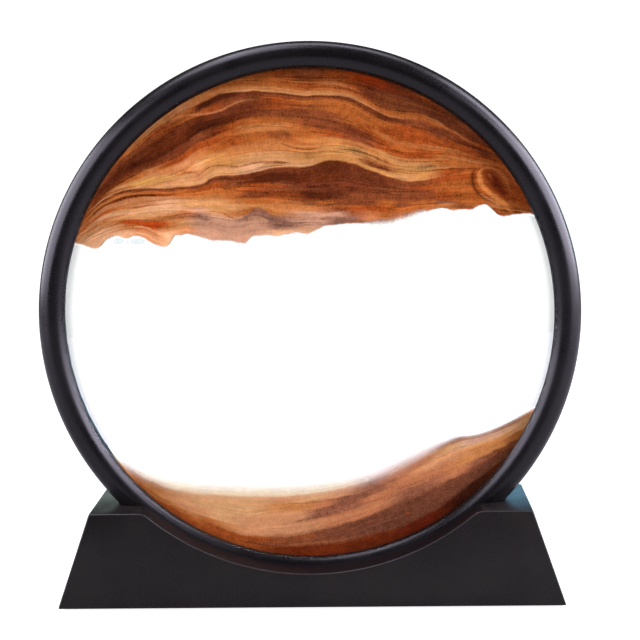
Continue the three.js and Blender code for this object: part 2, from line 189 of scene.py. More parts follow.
class Bench:
    """Hand tools for modelling."""

    @staticmethod
    def clear() -> None:
        """Leave nothing selected, in object mode."""
        active = bpy.context.view_layer.objects.active
        if active is not None and active.mode != "OBJECT":
            bpy.ops.object.mode_set(mode="OBJECT")
        bpy.ops.object.select_all(action="DESELECT")

    @classmethod
    def take(cls, piece: Piece) -> None:
        """Select one piece alone and make it the active one.

        Args:
            piece: the piece.
        """
        cls.clear()
        piece.select_set(True)
        bpy.context.view_layer.objects.active = piece

    @staticmethod
    def named(name: str) -> Piece:
        """Name the piece that was just added.

        Args:
            name: its name.

        Returns:
            The piece.
        """
        piece = bpy.context.object
        piece.name = piece.data.name = name
        return piece

    @classmethod
    def ring_of(cls, name: str, places: list[Place], filled: bool = False) -> Piece:
        """A closed loop of edges through given places.

        Args:
            name: the new piece's name.
            places: corners in millimetres.
            filled: whether one face fills the loop.

        Returns:
            The new piece.
        """
        cls.clear()
        fill = "NGON" if filled else "NOTHING"
        bpy.ops.mesh.primitive_circle_add(
            vertices=len(places), radius=1.0, fill_type=fill, location=(0, 0, 0))
        piece = cls.named(name)
        for vertex, place in zip(piece.data.vertices, places):
            vertex.co = Vector(place) * MM
        return piece

    @classmethod
    def sheet(cls, name: str, across: int, up: int) -> Piece:
        """A flat grid of faces from -1 to 1.

        Args:
            name: the new piece's name.
            across: faces along X.
            up: faces along Y.

        Returns:
            The new piece.
        """
        cls.clear()
        bpy.ops.mesh.primitive_grid_add(
            x_subdivisions=across, y_subdivisions=up, size=2, location=(0, 0, 0))
        return cls.named(name)

    @classmethod
    def close(cls, piece: Piece) -> None:
        """Merge the doubles of a piece and turn its faces outwards.

        Args:
            piece: the piece.
        """
        cls.take(piece)
        bpy.ops.object.mode_set(mode="EDIT")
        bpy.ops.mesh.select_all(action="SELECT")
        bpy.ops.mesh.remove_doubles(threshold=1e-6)
        bpy.ops.mesh.normals_make_consistent(inside=False)
        bpy.ops.object.mode_set(mode="OBJECT")

    @classmethod
    def thicken(cls, piece: Piece, width: float) -> None:
        """Close a sheet's doubles and give it a thickness to both sides.

        Args:
            piece: the sheet.
            width: the thickness in millimetres.
        """
        cls.close(piece)
        modifier = piece.modifiers.new("thickness", "SOLIDIFY")
        modifier.thickness = width * MM
        modifier.offset = 0.0
        bpy.ops.object.modifier_apply(modifier=modifier.name)

    @classmethod
    def turned(cls, name: str, profile: list[Point], steps: int, height: float = 0.0) -> Piece:
        """Turn a closed profile about the picture's axis.

        Args:
            name: the new piece's name.
            profile: corners as radius and place along Y, in millimetres.
            steps: facets round the turn.
            height: how far the axis lies above the floor.

        Returns:
            The new piece.
        """
        piece = cls.ring_of(name, [(radius, along, 0.0) for radius, along in profile])
        cls.take(piece)
        bpy.ops.object.mode_set(mode="EDIT")
        bpy.ops.mesh.select_all(action="SELECT")
        bpy.ops.mesh.spin(steps=steps, angle=FULL_TURN, center=(0, 0, 0), axis=(0, 1, 0))
        bpy.ops.object.mode_set(mode="OBJECT")
        cls.close(piece)
        cls.shift(piece, (0, 0, height))
        return piece

    @classmethod
    def shift(cls, piece: Piece, step: Place) -> None:
        """Move a piece, with its new place in its mesh.

        Args:
            piece: the piece.
            step: the move in millimetres.
        """
        cls.take(piece)
        bpy.ops.transform.translate(value=Vector(step) * MM)
        bpy.ops.object.transform_apply(location=True, rotation=True, scale=True)

    @classmethod
    def peg(cls, name: str, radius: float, ends: Point, steps: int, foot: Place) -> Piece:
        """A round upright peg, as a tool.

        Args:
            name: the new piece's name.
            radius: its radius in millimetres.
            ends: how high its two ends lie above its foot.
            steps: facets round it.
            foot: place of its foot.

        Returns:
            The new piece.
        """
        low, high = ends
        piece = cls.turned(name, [(0, low), (radius, low), (radius, high), (0, high)], steps)
        cls.take(piece)
        piece.rotation_euler = (math.pi / 2, 0, 0)
        bpy.ops.object.transform_apply(location=True, rotation=True, scale=True)
        cls.shift(piece, foot)
        return piece

    @classmethod
    def slab(cls, name: str, outline: list[Point], depth: float) -> Piece:
        """Give an outline in X and Z a thickness along Y.

        Args:
            name: the new piece's name.
            outline: corners in millimetres.
            depth: thickness.

        Returns:
            The new piece.
        """
        piece = cls.ring_of(name, [(x, -depth / 2, z) for x, z in outline], filled=True)
        cls.take(piece)
        bpy.ops.object.mode_set(mode="EDIT")
        bpy.ops.mesh.select_all(action="SELECT")
        bpy.ops.mesh.extrude_region_move(TRANSFORM_OT_translate={"value": (0, depth * MM, 0)})
        bpy.ops.object.mode_set(mode="OBJECT")
        cls.close(piece)
        return piece

    @classmethod
    def round_edges(cls, piece: Piece, chosen: Callable[[Vector, Vector], bool], width: float,
                    segments: int) -> None:
        """Bevel the edges of a piece that a test picks by their two ends.

        Args:
            piece: the piece.
            chosen: takes the two ends of an edge and says whether it is rounded.
            width: width of the bevel in millimetres.
            segments: steps of the bevel.
        """
        cls.take(piece)
        bpy.ops.object.mode_set(mode="EDIT")
        bpy.ops.mesh.select_mode(type="EDGE")
        bpy.ops.mesh.select_all(action="DESELECT")
        bpy.ops.object.mode_set(mode="OBJECT")
        vertices = piece.data.vertices
        for edge in piece.data.edges:
            a, b = (vertices[k].co for k in edge.vertices)
            edge.select = bool(chosen(a, b))
        bpy.ops.object.mode_set(mode="EDIT")
        bpy.ops.mesh.bevel(offset=width * MM, offset_type="OFFSET", segments=segments, affect="EDGES")
        bpy.ops.mesh.select_mode(type="VERT")
        bpy.ops.object.mode_set(mode="OBJECT")

    @classmethod
    def carve(cls, body: Piece, tool: Piece) -> None:
        """Cut a tool out of a body and put the tool away.

        Args:
            body: the piece that is shaped.
            tool: the piece that shapes it.
        """
        modifier = body.modifiers.new("carve", "BOOLEAN")
        modifier.operation = "DIFFERENCE"
        modifier.solver = "EXACT"
        modifier.object = tool
        cls.take(body)
        bpy.ops.object.modifier_apply(modifier=modifier.name)
        bpy.data.objects.remove(tool)

    @classmethod
    def smooth(cls, piece: Piece, degrees: float) -> None:
        """Shade a piece smooth, except across its sharp edges."""
        cls.take(piece)
        bpy.ops.object.shade_smooth_by_angle(angle=math.radians(degrees))


class Recipe:
    """Builds one material from nodes."""

    def __init__(self, name: str) -> None:
        """Start a material with a bare shader.

        Args:
            name: the material's name.
        """
        self.material = bpy.data.materials.new(name)
        self.material.use_nodes = True
        self.tree = self.material.node_tree
        self.shader = self.tree.nodes["Principled BSDF"]
        self.place = self.tree.nodes.new("ShaderNodeTexCoord").outputs["Object"]

    def node(self, kind: str, inputs: dict[int | str, Value], **settings: str) -> bpy.types.Node:
        """Add a node.

        Args:
            kind: the node's type, without its prefix.
            inputs: values or outputs for its sockets, by name or number.
            settings: values for its own properties.

        Returns:
            The node.
        """
        node = self.tree.nodes.new("ShaderNode" + kind)
        for key, value in settings.items():
            setattr(node, key, value)
        for key, value in inputs.items():
            self.feed(node.inputs[key], value)
        return node

    def feed(self, socket: Socket, value: Value) -> None:
        """Link an output to a socket, or set its value.

        Args:
            socket: the socket.
            value: an output, a number, a vector or a colour.
        """
        if isinstance(value, bpy.types.NodeSocket):
            self.tree.links.new(value, socket)
        else:
            socket.default_value = value

    def layer(self, key: str, output: str = "Fac") -> Socket:
        """A value that is kept on the mesh."""
        return self.node("Attribute", {}, attribute_name=key).outputs[output]

    def noise(self, scale: float, detail: float, where: Socket | None = None,
              stretch: Place | None = None) -> Socket:
        """A wandering value about 0.5.

        Args:
            scale: swings for each metre.
            detail: finer layers.
            where: coordinates, the piece's own where left out.
            stretch: scale along each axis.

        Returns:
            The value.
        """
        where = self.place if where is None else where
        if stretch is not None:
            where = self.node("Mapping", {"Vector": where, "Scale": stretch}).outputs[0]
        return self.node("TexNoise", {"Vector": where, "Scale": scale, "Detail": detail}).outputs[0]

    def span(self, value: Value, low: float, high: float, start: float = 0.0,
             end: float = 1.0) -> Socket:
        """Map a range of a value onto another."""
        inputs = {0: value, 1: low, 2: high, 3: start, 4: end}
        return self.node("MapRange", inputs, interpolation_type="SMOOTHSTEP").outputs[0]

    def sway(self, noise: Socket, start: float = 0.0, end: float = 1.0) -> Socket:
        """Map a noise, from 0.3 to 0.7 where most of it lies, onto another range."""
        return self.span(noise, 0.3, 0.7, start, end)

    def maths(self, operation: str, first: Value, second: Value) -> Socket:
        """One sum of two values."""
        return self.node("Math", {0: first, 1: second}, operation=operation).outputs[0]

    def vector(self, operation: str, first: Value, second: Value, output: str = "Vector") -> Socket:
        """One sum of two vectors."""
        return self.node("VectorMath", {0: first, 1: second}, operation=operation).outputs[output]

    def mix(self, share: Value, first: Value, second: Value, blend: str = "MIX") -> Socket:
        """Mix two colours."""
        inputs = {0: share, 6: first, 7: second}
        return self.node("Mix", inputs, data_type="RGBA", blend_type=blend).outputs[2]

    def bump(self, height: Socket, strength: float, distance: float) -> None:
        """Give the surface a relief."""
        inputs = {"Height": height, "Strength": strength, "Distance": distance}
        self.feed(self.shader.inputs["Normal"], self.node("Bump", inputs).outputs[0])

    def set(self, **values: Value) -> None:
        """Set sockets of the shader, with words joined by underscores."""
        for key, value in values.items():
            self.feed(self.shader.inputs[key.replace("_", " ")], value)

    def specks(self, scale: float, radius: float, share: float) -> Socket:
        """Small round specks, scattered sparsely.

        Args:
            scale: cells for each metre, with at most one speck in each.
            radius: size of a speck against its cell.
            share: part of the cells that have one.

        Returns:
            1 on a speck and 0 elsewhere.
        """
        cells = self.node("TexVoronoi", {"Vector": self.place, "Scale": scale})
        near = self.span(cells.outputs["Distance"], radius * 0.5, radius, 1.0, 0.0)
        pick = self.node("SeparateColor", {0: cells.outputs["Color"]}).outputs[0]
        return self.maths("MULTIPLY", near, self.maths("LESS_THAN", pick, share))


@dataclass(frozen=True)
class MouldedPlastic:
    """Black moulded plastic with a fine matt skin, faint clouding, settled dust and, where asked, a painted
    highlight on its rounded edges.

    Attributes:
        name: the material's name.
        dark: colour of most of it.
        pale: colour of its clouds.
        roughness: how matt it is.
        gloss: strength of its reflections.
        dust: part of the cells that hold a speck.
        sheen: colour of its reflections.
        skin: strength of its fine relief.
        worn: whether its rounded edges get a painted highlight, a paler tone laid on them.
        clouds: clouds for each metre.
        pores: pores of the skin for each metre.
        cells: cells of dust for each metre.
        speck: size of a speck against its cell.
        speck_cover: how much of the plastic a speck hides.
        speck_tone: colour of the dust.
        rubbed_tone: colour of the painted highlight on its edges.
    """

    name: str
    dark: str
    pale: str
    roughness: float
    gloss: float
    dust: float
    sheen: str = "ffffff"
    skin: float = 0.12
    worn: bool = False
    clouds: float = 55.0
    pores: float = 2600.0
    cells: float = 260.0
    speck: float = 0.075
    speck_cover: float = 0.55
    speck_tone: str = "8d8b8c"
    rubbed_tone: str = "242223"

    def make(self) -> bpy.types.Material:
        """Returns the material."""
        recipe = Recipe(self.name)
        cloud, skin = recipe.noise(self.clouds, 4), recipe.noise(self.pores, 2)
        colour = recipe.mix(recipe.span(cloud, 0.35, 0.7), rgba(self.dark), rgba(self.pale))
        dust = recipe.maths("MULTIPLY", recipe.specks(self.cells, self.speck, self.dust), self.speck_cover)
        colour = recipe.mix(dust, colour, rgba(self.speck_tone))
        rough = recipe.maths("ADD", recipe.sway(cloud, -0.05, 0.05), self.roughness)
        rough = recipe.maths("ADD", rough, recipe.sway(skin, -0.04, 0.04))
        # Painted highlight: a paler tone on the rounded edges stands in for the light line that they catch.
        if self.worn:
            colour = recipe.mix(recipe.layer("edge_highlight_mask"), colour, rgba(self.rubbed_tone))
        recipe.set(Base_Color=colour, Roughness=rough, Specular_IOR_Level=self.gloss,
                   Specular_Tint=rgba(self.sheen))
        recipe.bump(skin, self.skin, 0.0001)
        return recipe.material


@dataclass(frozen=True)
class Sand:
    """Fine wet sand pressed against glass, coloured by its own strata.

    Attributes:
        name: the material's name.
        grain: strength of the light and dark grains.
        bedding: strength of the fine bedding.
        ragged: how unevenly its edge thins out.
        fades: whether its edge thins out at all.
        grains: grains for each metre.
        blots: clusters of grains for each metre.
        vein: strength of the dark veins against the bedding.
        gleam: strength of the pale gleams against the bedding.
    """

    name: str
    grain: float
    bedding: float
    ragged: float
    fades: bool
    grains: float = 1700.0
    blots: float = 520.0
    vein: float = 3.0
    gleam: float = 2.2

    def make(self) -> bpy.types.Material:
        """Returns the material."""
        recipe = Recipe(self.name)
        tint, grains = recipe.layer("strata", "Color"), recipe.noise(self.grains, 3)
        light = recipe.maths("ADD", self.beds(recipe), self.grit(recipe, tint, grains))
        light = recipe.maths("SUBTRACT", light, self.thread(recipe, 0.5, self.vein))
        light = recipe.maths("ADD", light, self.thread(recipe, 0.58, self.gleam))
        shade = recipe.node("CombineColor", {0: light, 1: light, 2: light}).outputs[0]
        colour = recipe.mix(1.0, tint, shade, "MULTIPLY")
        recipe.set(Base_Color=colour, Roughness=0.9, Specular_IOR_Level=0.0)
        recipe.bump(grains, 0.25, 0.0002)
        if self.fades:
            loose = recipe.span(grains, 0.2, 0.8, -self.ragged, self.ragged)
            cover = recipe.maths("ADD", recipe.layer("cover"), loose)
            recipe.set(Alpha=recipe.span(cover, 0.08, 0.92))
        return recipe.material

    @staticmethod
    def flow(recipe: Recipe, swings: float) -> Socket:
        """Coordinates that run along the beds.

        Args:
            recipe: the material.
            swings: units for each metre along a bed.

        Returns:
            The coordinates.
        """
        along = recipe.node("SeparateXYZ", {0: recipe.place}).outputs[0]
        inputs = {0: recipe.maths("MULTIPLY", along, swings), 1: recipe.layer("bed")}
        return recipe.node("CombineXYZ", inputs).outputs[0]

    def beds(self, recipe: Recipe) -> Socket:
        """Fine light and dark beds.

        Args:
            recipe: the material.

        Returns:
            Their light, about 1.
        """
        flow, strength = self.flow(recipe, 60.0), self.bedding
        bands, threads = recipe.noise(1.0, 3, flow), recipe.noise(2.6, 2, flow)
        wide = recipe.sway(bands, 1 - strength, 1 + strength)
        return recipe.maths("ADD", wide, recipe.sway(threads, -strength * 0.5, strength * 0.5))

    def grit(self, recipe: Recipe, tint: Socket, grains: Socket) -> Socket:
        """Light and dark grains, stronger in dark sand.

        Args:
            recipe: the material.
            tint: the sand's colour.
            grains: the noise of its grains.

        Returns:
            Their light, about 0.
        """
        cluster = 0.6 * self.grain
        single = recipe.sway(grains, -self.grain, self.grain)
        both = recipe.maths("ADD", single, recipe.sway(recipe.noise(self.blots, 3), -cluster, cluster))
        dim = recipe.span(recipe.node("RGBToBW", {0: tint}).outputs[0], 0.04, 0.28, 1.0, 0.35)
        return recipe.maths("MULTIPLY", both, dim)

    def thread(self, recipe: Recipe, level: float, strength: float) -> Socket:
        """Thin threads that run along the beds here and there.

        Args:
            recipe: the material.
            level: which height of a wave the threads follow.
            strength: their strength against the bedding.

        Returns:
            Their light, from 0.
        """
        drift = self.flow(recipe, 26.0)
        wave, patch = recipe.noise(0.8, 1, drift), recipe.span(recipe.noise(0.35, 1, drift), 0.38, 0.6)
        away = recipe.maths("ABSOLUTE", recipe.maths("SUBTRACT", wave, level), 0.0)
        line = recipe.maths("MULTIPLY", patch, recipe.span(away, 0.0, 0.05, 1.0, 0.0))
        return recipe.maths("MULTIPLY", line, strength * self.bedding)


@dataclass(frozen=True)
class Steel:
    """Bright zinc-plated steel with fine turning marks.

    Attributes:
        name: the material's name.
        tones: its two shades.
    """

    name: str
    tones: tuple[str, str] = ("a9a9a6", "c6c5c0")

    def make(self) -> bpy.types.Material:
        """Returns the material."""
        recipe = Recipe(self.name)
        cloud = recipe.noise(700, 3)
        colour = recipe.mix(recipe.sway(cloud), *(rgba(tone) for tone in self.tones))
        recipe.set(Base_Color=colour, Metallic=1.0, Roughness=recipe.sway(cloud, 0.24, 0.4))
        recipe.bump(recipe.noise(3000, 1, stretch=(1, 1, 6)), 0.2, 0.00005)
        return recipe.material


@dataclass(frozen=True)
class Rubber:
    """Soft matt rubber or silicone with a bloom.

    Attributes:
        name: the material's name.
        tone: its colour.
    """

    name: str
    tone: str

    def make(self) -> bpy.types.Material:
        """Returns the material."""
        recipe = Recipe(self.name)
        bloom = recipe.noise(420, 4)
        pale = tuple(min(1.0, part * 1.5 + 0.01) for part in rgba(self.tone)[:3]) + (1.0,)
        colour = recipe.mix(recipe.span(bloom, 0.35, 0.75), rgba(self.tone), pale)
        recipe.set(Base_Color=colour, Roughness=recipe.sway(bloom, 0.7, 0.85), Specular_IOR_Level=0.25)
        recipe.bump(recipe.noise(1800, 2), 0.2, 0.0001)
        return recipe.material


@dataclass(frozen=True)
class ClearGlass:
    """Clear glass or liquid with a faint green-blue tint and a trace of wipe marks.

    Attributes:
        name: the material's name.
        cover: how much it hides of what lies behind it.
        tones: its two shades.
        rim: how much it hides at the cell's rim, as painted shade standing in for the lip's shadow and the
            dark packing seen through the glass edge.
        rim_span: distances from the picture's axis, in metres, between which that painted shade begins.
    """

    name: str
    cover: float
    tones: tuple[str, str] = ("1c2a2b", "243537")
    rim: float = 0.0
    rim_span: Point = (0.0765, 0.0793)

    def make(self) -> bpy.types.Material:
        """Returns the material."""
        recipe = Recipe(self.name)
        marks = recipe.noise(60, 4, stretch=(1.0, 1.0, 0.3))
        tint = recipe.mix(recipe.sway(marks), *(rgba(tone) for tone in self.tones))
        recipe.set(Base_Color=tint, Roughness=recipe.sway(marks, 0.02, 0.06), Alpha=self.cover)
        # Painted shade: towards the cell's rim the dark tint hides more of what lies behind.
        if self.rim:
            middle = recipe.vector("SUBTRACT", recipe.place, (0, 0, CENTRE * MM))
            flat = recipe.vector("MULTIPLY", middle, (1, 0, 1))
            away = recipe.vector("LENGTH", flat, (0, 0, 0), "Value")
            recipe.set(Alpha=recipe.span(away, *self.rim_span, self.cover, self.rim))
        return recipe.material


def dress_node(name: str, material: bpy.types.Material) -> None:
    """Give a node of the frame a finish.

    Args:
        name: the node.
        material: its finish.
    """
    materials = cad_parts[name].data.materials
    materials.clear()
    materials.append(material)


T = Tone
Seam = list[tuple[float, float, Tone]]
Streak = tuple[list[Point], float, Tone, float]


HANGING_SEAMS: list[Seam] = [
    [(-82, 82, T.RUST), (-25, 79, T.ORANGE), (-10, 78.6, T.RUST), (0, 78.6, T.BROWN),
     (10, 78.4, T.RUST), (20, 77, T.RED), (30, 74, T.CHESTNUT), (40, 70, T.RUST), (50, 64, T.BROWN),
     (60, 56, T.CHESTNUT), (82, 45, T.RUST)],
    [(-82, 60, T.ORANGE), (-40, 72, T.AMBER), (-28, 73.6, T.ORANGE), (-20, 74.4, T.ORANGE),
     (-10, 74.3, T.ORANGE), (0, 73.3, T.RUST), (8, 73.2, T.ORANGE), (15, 72, T.RUST),
     (20, 69.8, T.CHESTNUT), (26, 67.2, T.BROWN), (34, 65.2, T.BROWN), (42, 63, T.CHESTNUT),
     (50, 58.4, T.BROWN), (58, 53.6, T.CHESTNUT), (66, 49, T.RUST), (82, 40, T.RUST)],
    [(-82, 26, T.RUST), (-66, 44.5, T.RUST), (-60, 51, T.ORANGE), (-55, 56, T.AMBER),
     (-50, 60.3, T.TAN), (-45, 63.8, T.AMBER), (-40, 66.8, T.PEACH), (-35, 69.3, T.AMBER),
     (-30, 71.2, T.AMBER), (-24, 72.5, T.AMBER), (-18, 72.5, T.AMBER), (-10, 72.2, T.AMBER),
     (0, 71, T.AMBER), (8, 70.9, T.AMBER), (14, 70, T.AMBER), (20, 67.4, T.ORANGE),
     (25, 64.8, T.ORANGE), (30, 63.5, T.ORANGE), (37, 63.2, T.ORANGE), (42, 61, T.ORANGE),
     (47, 57.8, T.RUST), (52, 55.2, T.RUST), (57, 53, T.RUST), (64, 49.3, T.RUST), (82, 39, T.RUST)],
    [(-82, 25, T.RUST), (-66, 43.7, T.BROWN), (-60, 50, T.BROWN), (-55, 54.7, T.ORANGE),
     (-50, 58.6, T.RUST), (-45, 61.7, T.BROWN), (-40, 64.6, T.ORANGE), (-35, 66.5, T.CHESTNUT),
     (-30, 69.4, T.CHESTNUT), (-24, 70.9, T.CHESTNUT), (-18, 71.1, T.CHESTNUT), (-10, 70.8, T.BROWN),
     (0, 69.8, T.BROWN), (8, 69.9, T.BROWN), (15, 68.6, T.CHESTNUT), (20, 65.9, T.BROWN),
     (25, 63.2, T.CHESTNUT), (30, 61.7, T.BROWN), (37, 60.8, T.BROWN), (42, 58.7, T.CHESTNUT),
     (47, 56, T.BROWN), (52, 53.8, T.CHESTNUT), (57, 51.9, T.CHESTNUT), (64, 48.5, T.BROWN),
     (82, 38.4, T.RUST)],
    [(-82, 24.6, T.RUST), (-66, 43, T.BROWN), (-60, 49, T.CHESTNUT), (-55, 53.4, T.BROWN),
     (-50, 57.2, T.BROWN), (-45, 60.7, T.RUST), (-40, 63.2, T.ORANGE), (-35, 65.2, T.ORANGE),
     (-30, 66.2, T.RUST), (-24, 68, T.BROWN), (-18, 69.6, T.BROWN), (-10, 69.3, T.RUST),
     (0, 68.3, T.ORANGE), (8, 68.2, T.ORANGE), (15, 66.5, T.ORANGE), (20, 63.6, T.ORANGE),
     (25, 61, T.ORANGE), (30, 59.5, T.RUST), (37, 58.3, T.RUST), (42, 56.7, T.BROWN),
     (47, 54.5, T.RUST), (52, 52.5, T.RUST), (57, 51, T.CHESTNUT), (64, 48, T.RUST), (82, 38, T.RUST)],
    [(-82, 24.2, T.BROWN), (-66, 42.4, T.CHESTNUT), (-60, 47.6, T.UMBER), (-55, 51.7, T.CHESTNUT),
     (-50, 55.4, T.UMBER), (-45, 58.7, T.UMBER), (-40, 61.3, T.CHESTNUT), (-35, 63.3, T.UMBER),
     (-30, 64.3, T.CHESTNUT), (-24, 66, T.CHESTNUT), (-18, 67.4, T.CHESTNUT), (-10, 67.2, T.RUST),
     (0, 66.4, T.BROWN), (8, 66.3, T.ORANGE), (15, 64.6, T.ORANGE), (20, 61.6, T.ORANGE),
     (25, 59, T.RUST), (30, 57.2, T.RUST), (37, 56.2, T.RUST), (44, 54.3, T.RUST), (52, 51.4, T.RUST),
     (60, 48.8, T.RUST), (82, 37.6, T.RUST)],
    [(-82, 23.8, T.RUST), (-66, 41.2, T.CHESTNUT), (-60, 45.6, T.UMBER), (-55, 48.9, T.DARK),
     (-50, 52, T.UMBER), (-45, 54.8, T.UMBER), (-40, 57.5, T.UMBER), (-35, 60.2, T.DARK),
     (-30, 61.8, T.DARK), (-24, 63.4, T.UMBER), (-18, 65, T.CHESTNUT), (-10, 65, T.BROWN),
     (0, 64.2, T.BROWN), (8, 63.4, T.BROWN), (15, 61.8, T.ORANGE), (20, 58.8, T.RUST),
     (25, 56.6, T.ORANGE), (30, 54.8, T.RUST), (37, 53.9, T.RUST), (44, 52.8, T.ORANGE),
     (52, 50.4, T.RUST), (60, 48.2, T.ORANGE), (82, 37.3, T.RUST)],
    [(-82, 23.4, T.RUST), (-66, 40.3, T.BROWN), (-60, 43.8, T.RUST), (-55, 46.4, T.BROWN),
     (-50, 48.9, T.UMBER), (-45, 51.2, T.CHESTNUT), (-40, 53.6, T.CHESTNUT), (-35, 57, T.BROWN),
     (-30, 59, T.UMBER), (-24, 60.8, T.RUST), (-18, 62.3, T.ORANGE), (-10, 62.4, T.ORANGE),
     (0, 61.6, T.BROWN), (8, 60.3, T.BROWN), (15, 58.6, T.CHESTNUT), (20, 56.6, T.CHESTNUT),
     (25, 55, T.RUST), (30, 53.2, T.ORANGE), (37, 52.5, T.RUST), (44, 51.6, T.ORANGE),
     (52, 49.6, T.RUST), (60, 47.7, T.ORANGE), (82, 37, T.RUST)],
    [(-82, 23, T.RUST), (-66, 39.6, T.RUST), (-60, 42.8, T.ORANGE), (-55, 45, T.ORANGE),
     (-50, 46.9, T.AMBER), (-45, 48.7, T.RUST), (-40, 51, T.RUST), (-35, 54.2, T.RUST),
     (-30, 56.2, T.RUST), (-24, 58.4, T.ORANGE), (-18, 59.6, T.AMBER), (-10, 60.3, T.AMBER),
     (0, 59, T.ORANGE), (8, 57.9, T.RUST), (15, 56.4, T.BROWN), (20, 54.6, T.BROWN), (25, 52.6, T.RUST),
     (30, 51.2, T.RUST), (37, 50.8, T.RUST), (44, 50.3, T.ORANGE), (52, 48.8, T.AMBER),
     (60, 47.2, T.ORANGE), (82, 36.7, T.RUST)],
    [(-82, 22.6, T.RUST), (-66, 39, T.ORANGE), (-60, 41.8, T.TAN), (-55, 43.6, T.GOLD),
     (-50, 45.2, T.PEACH), (-45, 46.6, T.AMBER), (-40, 48.3, T.PEACH), (-35, 51.6, T.AMBER),
     (-30, 53.6, T.ORANGE), (-24, 55.8, T.RUST), (-18, 57.2, T.ORANGE), (-10, 57.8, T.ORANGE),
     (0, 56.4, T.ORANGE), (8, 56.2, T.AMBER), (15, 54.8, T.AMBER), (20, 52.8, T.AMBER),
     (25, 50.8, T.GOLD), (30, 49.3, T.AMBER), (37, 48.8, T.AMBER), (44, 48.6, T.ORANGE),
     (52, 47.8, T.ORANGE), (60, 46.7, T.RUST), (82, 36.4, T.RUST)],
    [(-82, 22.2, T.RUST), (-66, 38.6, T.ORANGE), (-60, 41, T.ORANGE), (-55, 42.6, T.GOLD),
     (-50, 43.8, T.GOLD), (-45, 44.9, T.PEACH), (-40, 46.4, T.AMBER), (-35, 48.7, T.TAN),
     (-30, 50.9, T.GOLD), (-24, 52.8, T.AMBER), (-18, 53.6, T.AMBER), (-10, 54, T.AMBER),
     (0, 53.2, T.AMBER), (8, 53.8, T.GOLD), (15, 52.6, T.OLIVE), (20, 50.6, T.GOLD),
     (25, 48.8, T.AMBER), (30, 47.3, T.GOLD), (37, 46.8, T.OLIVE), (44, 47, T.AMBER),
     (52, 46.8, T.ORANGE), (60, 46, T.RUST), (82, 36, T.RUST)],
    [(-82, 21.8, T.RUST), (-66, 38.2, T.RUST), (-60, 40.3, T.BROWN), (-55, 41.6, T.TAN),
     (-50, 42.4, T.GOLD), (-45, 43.2, T.PEACH), (-40, 44.2, T.TAN), (-35, 45, T.PEACH),
     (-30, 48.6, T.GOLD), (-24, 49.8, T.GOLD), (-18, 50.6, T.TAN), (-10, 51, T.TAN), (0, 50.6, T.GOLD),
     (8, 51.4, T.GOLD), (15, 50.2, T.GOLD), (20, 48.3, T.BROWN), (25, 46.6, T.BROWN),
     (30, 45.4, T.GOLD), (37, 45, T.GOLD), (44, 45.9, T.RUST), (52, 46, T.RUST), (60, 45.4, T.RUST),
     (82, 35.6, T.RUST)],
    [(-82, 21.4, T.RUST), (-66, 37.8, T.RUST), (-60, 39.8, T.CHESTNUT), (-55, 41, T.BROWN),
     (-50, 41.4, T.TAN), (-45, 41.9, T.TAN), (-40, 42.4, T.TAN), (-35, 42.6, T.TAN), (-30, 45.4, T.TAN),
     (-24, 45.9, T.TAN), (-18, 46.9, T.BUFF), (-10, 48.4, T.TAN), (0, 48.6, T.TAN), (5, 49.7, T.GOLD),
     (10, 49.9, T.GOLD), (15, 49, T.GOLD), (20, 46.9, T.GOLD), (25, 44.7, T.GOLD), (30, 43.6, T.TAN),
     (37, 43.6, T.GOLD), (44, 44.6, T.RUST), (52, 45.2, T.ORANGE), (60, 44.6, T.RUST),
     (82, 35.2, T.RUST)],
    [(-82, 21, T.RUST), (-66, 37.2, T.RUST), (-60, 39.2, T.ORANGE), (-55, 40.4, T.CHESTNUT),
     (-50, 40.7, T.BROWN), (-45, 40.5, T.BROWN), (-40, 41.1, T.BROWN), (-35, 41.4, T.BROWN),
     (-30, 43.6, T.BROWN), (-24, 44, T.CHESTNUT), (-18, 44.8, T.UMBER), (-10, 46.7, T.CHESTNUT),
     (0, 47, T.CHESTNUT), (5, 48.4, T.UMBER), (10, 48.8, T.UMBER), (15, 47.8, T.CHESTNUT),
     (20, 45.6, T.CHESTNUT), (25, 43.4, T.CHESTNUT), (30, 42.3, T.BROWN), (37, 42.2, T.BROWN),
     (44, 43.4, T.RUST), (50, 44, T.RUST), (60, 43.6, T.RUST), (82, 34.8, T.RUST)],
    [(-82, 20.6, T.ORANGE), (-66, 36.4, T.AMBER), (-60, 38.6, T.AMBER), (-55, 39.6, T.ORANGE),
     (-50, 40, T.ORANGE), (-45, 39.9, T.ORANGE), (-40, 40.2, T.ORANGE), (-35, 40.5, T.RUST),
     (-30, 41.8, T.RUST), (-24, 42.4, T.BROWN), (-18, 43, T.UMBER), (-10, 44.3, T.DARK),
     (0, 44, T.UMBER), (5, 45, T.UMBER), (10, 45.6, T.UMBER), (15, 44.4, T.CHESTNUT),
     (20, 42.8, T.CHESTNUT), (25, 41.6, T.CHESTNUT), (30, 40.9, T.BROWN), (37, 40.6, T.RUST),
     (44, 41.4, T.ORANGE), (50, 41.6, T.ORANGE), (60, 41.4, T.RUST), (82, 34, T.RUST)],
    [(-82, 20.2, T.RUST), (-66, 35.6, T.ORANGE), (-60, 37.9, T.RUST), (-55, 38.7, T.BROWN),
     (-50, 38.9, T.RUST), (-45, 39.1, T.RUST), (-40, 39.4, T.ORANGE), (-35, 39.4, T.ORANGE),
     (-30, 40.2, T.ORANGE), (-24, 40.6, T.ORANGE), (-18, 41, T.RUST), (-10, 41.4, T.BROWN),
     (0, 40.6, T.CHESTNUT), (5, 40.6, T.CHESTNUT), (10, 40.8, T.CHESTNUT), (15, 40.6, T.CHESTNUT),
     (20, 40.2, T.CHESTNUT), (25, 39.8, T.BROWN), (30, 39.4, T.BROWN), (37, 39, T.BROWN),
     (44, 39.2, T.RUST), (50, 39.4, T.ORANGE), (60, 39, T.RUST), (82, 33, T.RUST)],
    [(-82, 19.8, T.ORANGE), (-66, 34.6, T.PEACH), (-60, 36.9, T.PEACH), (-55, 37.7, T.AMBER),
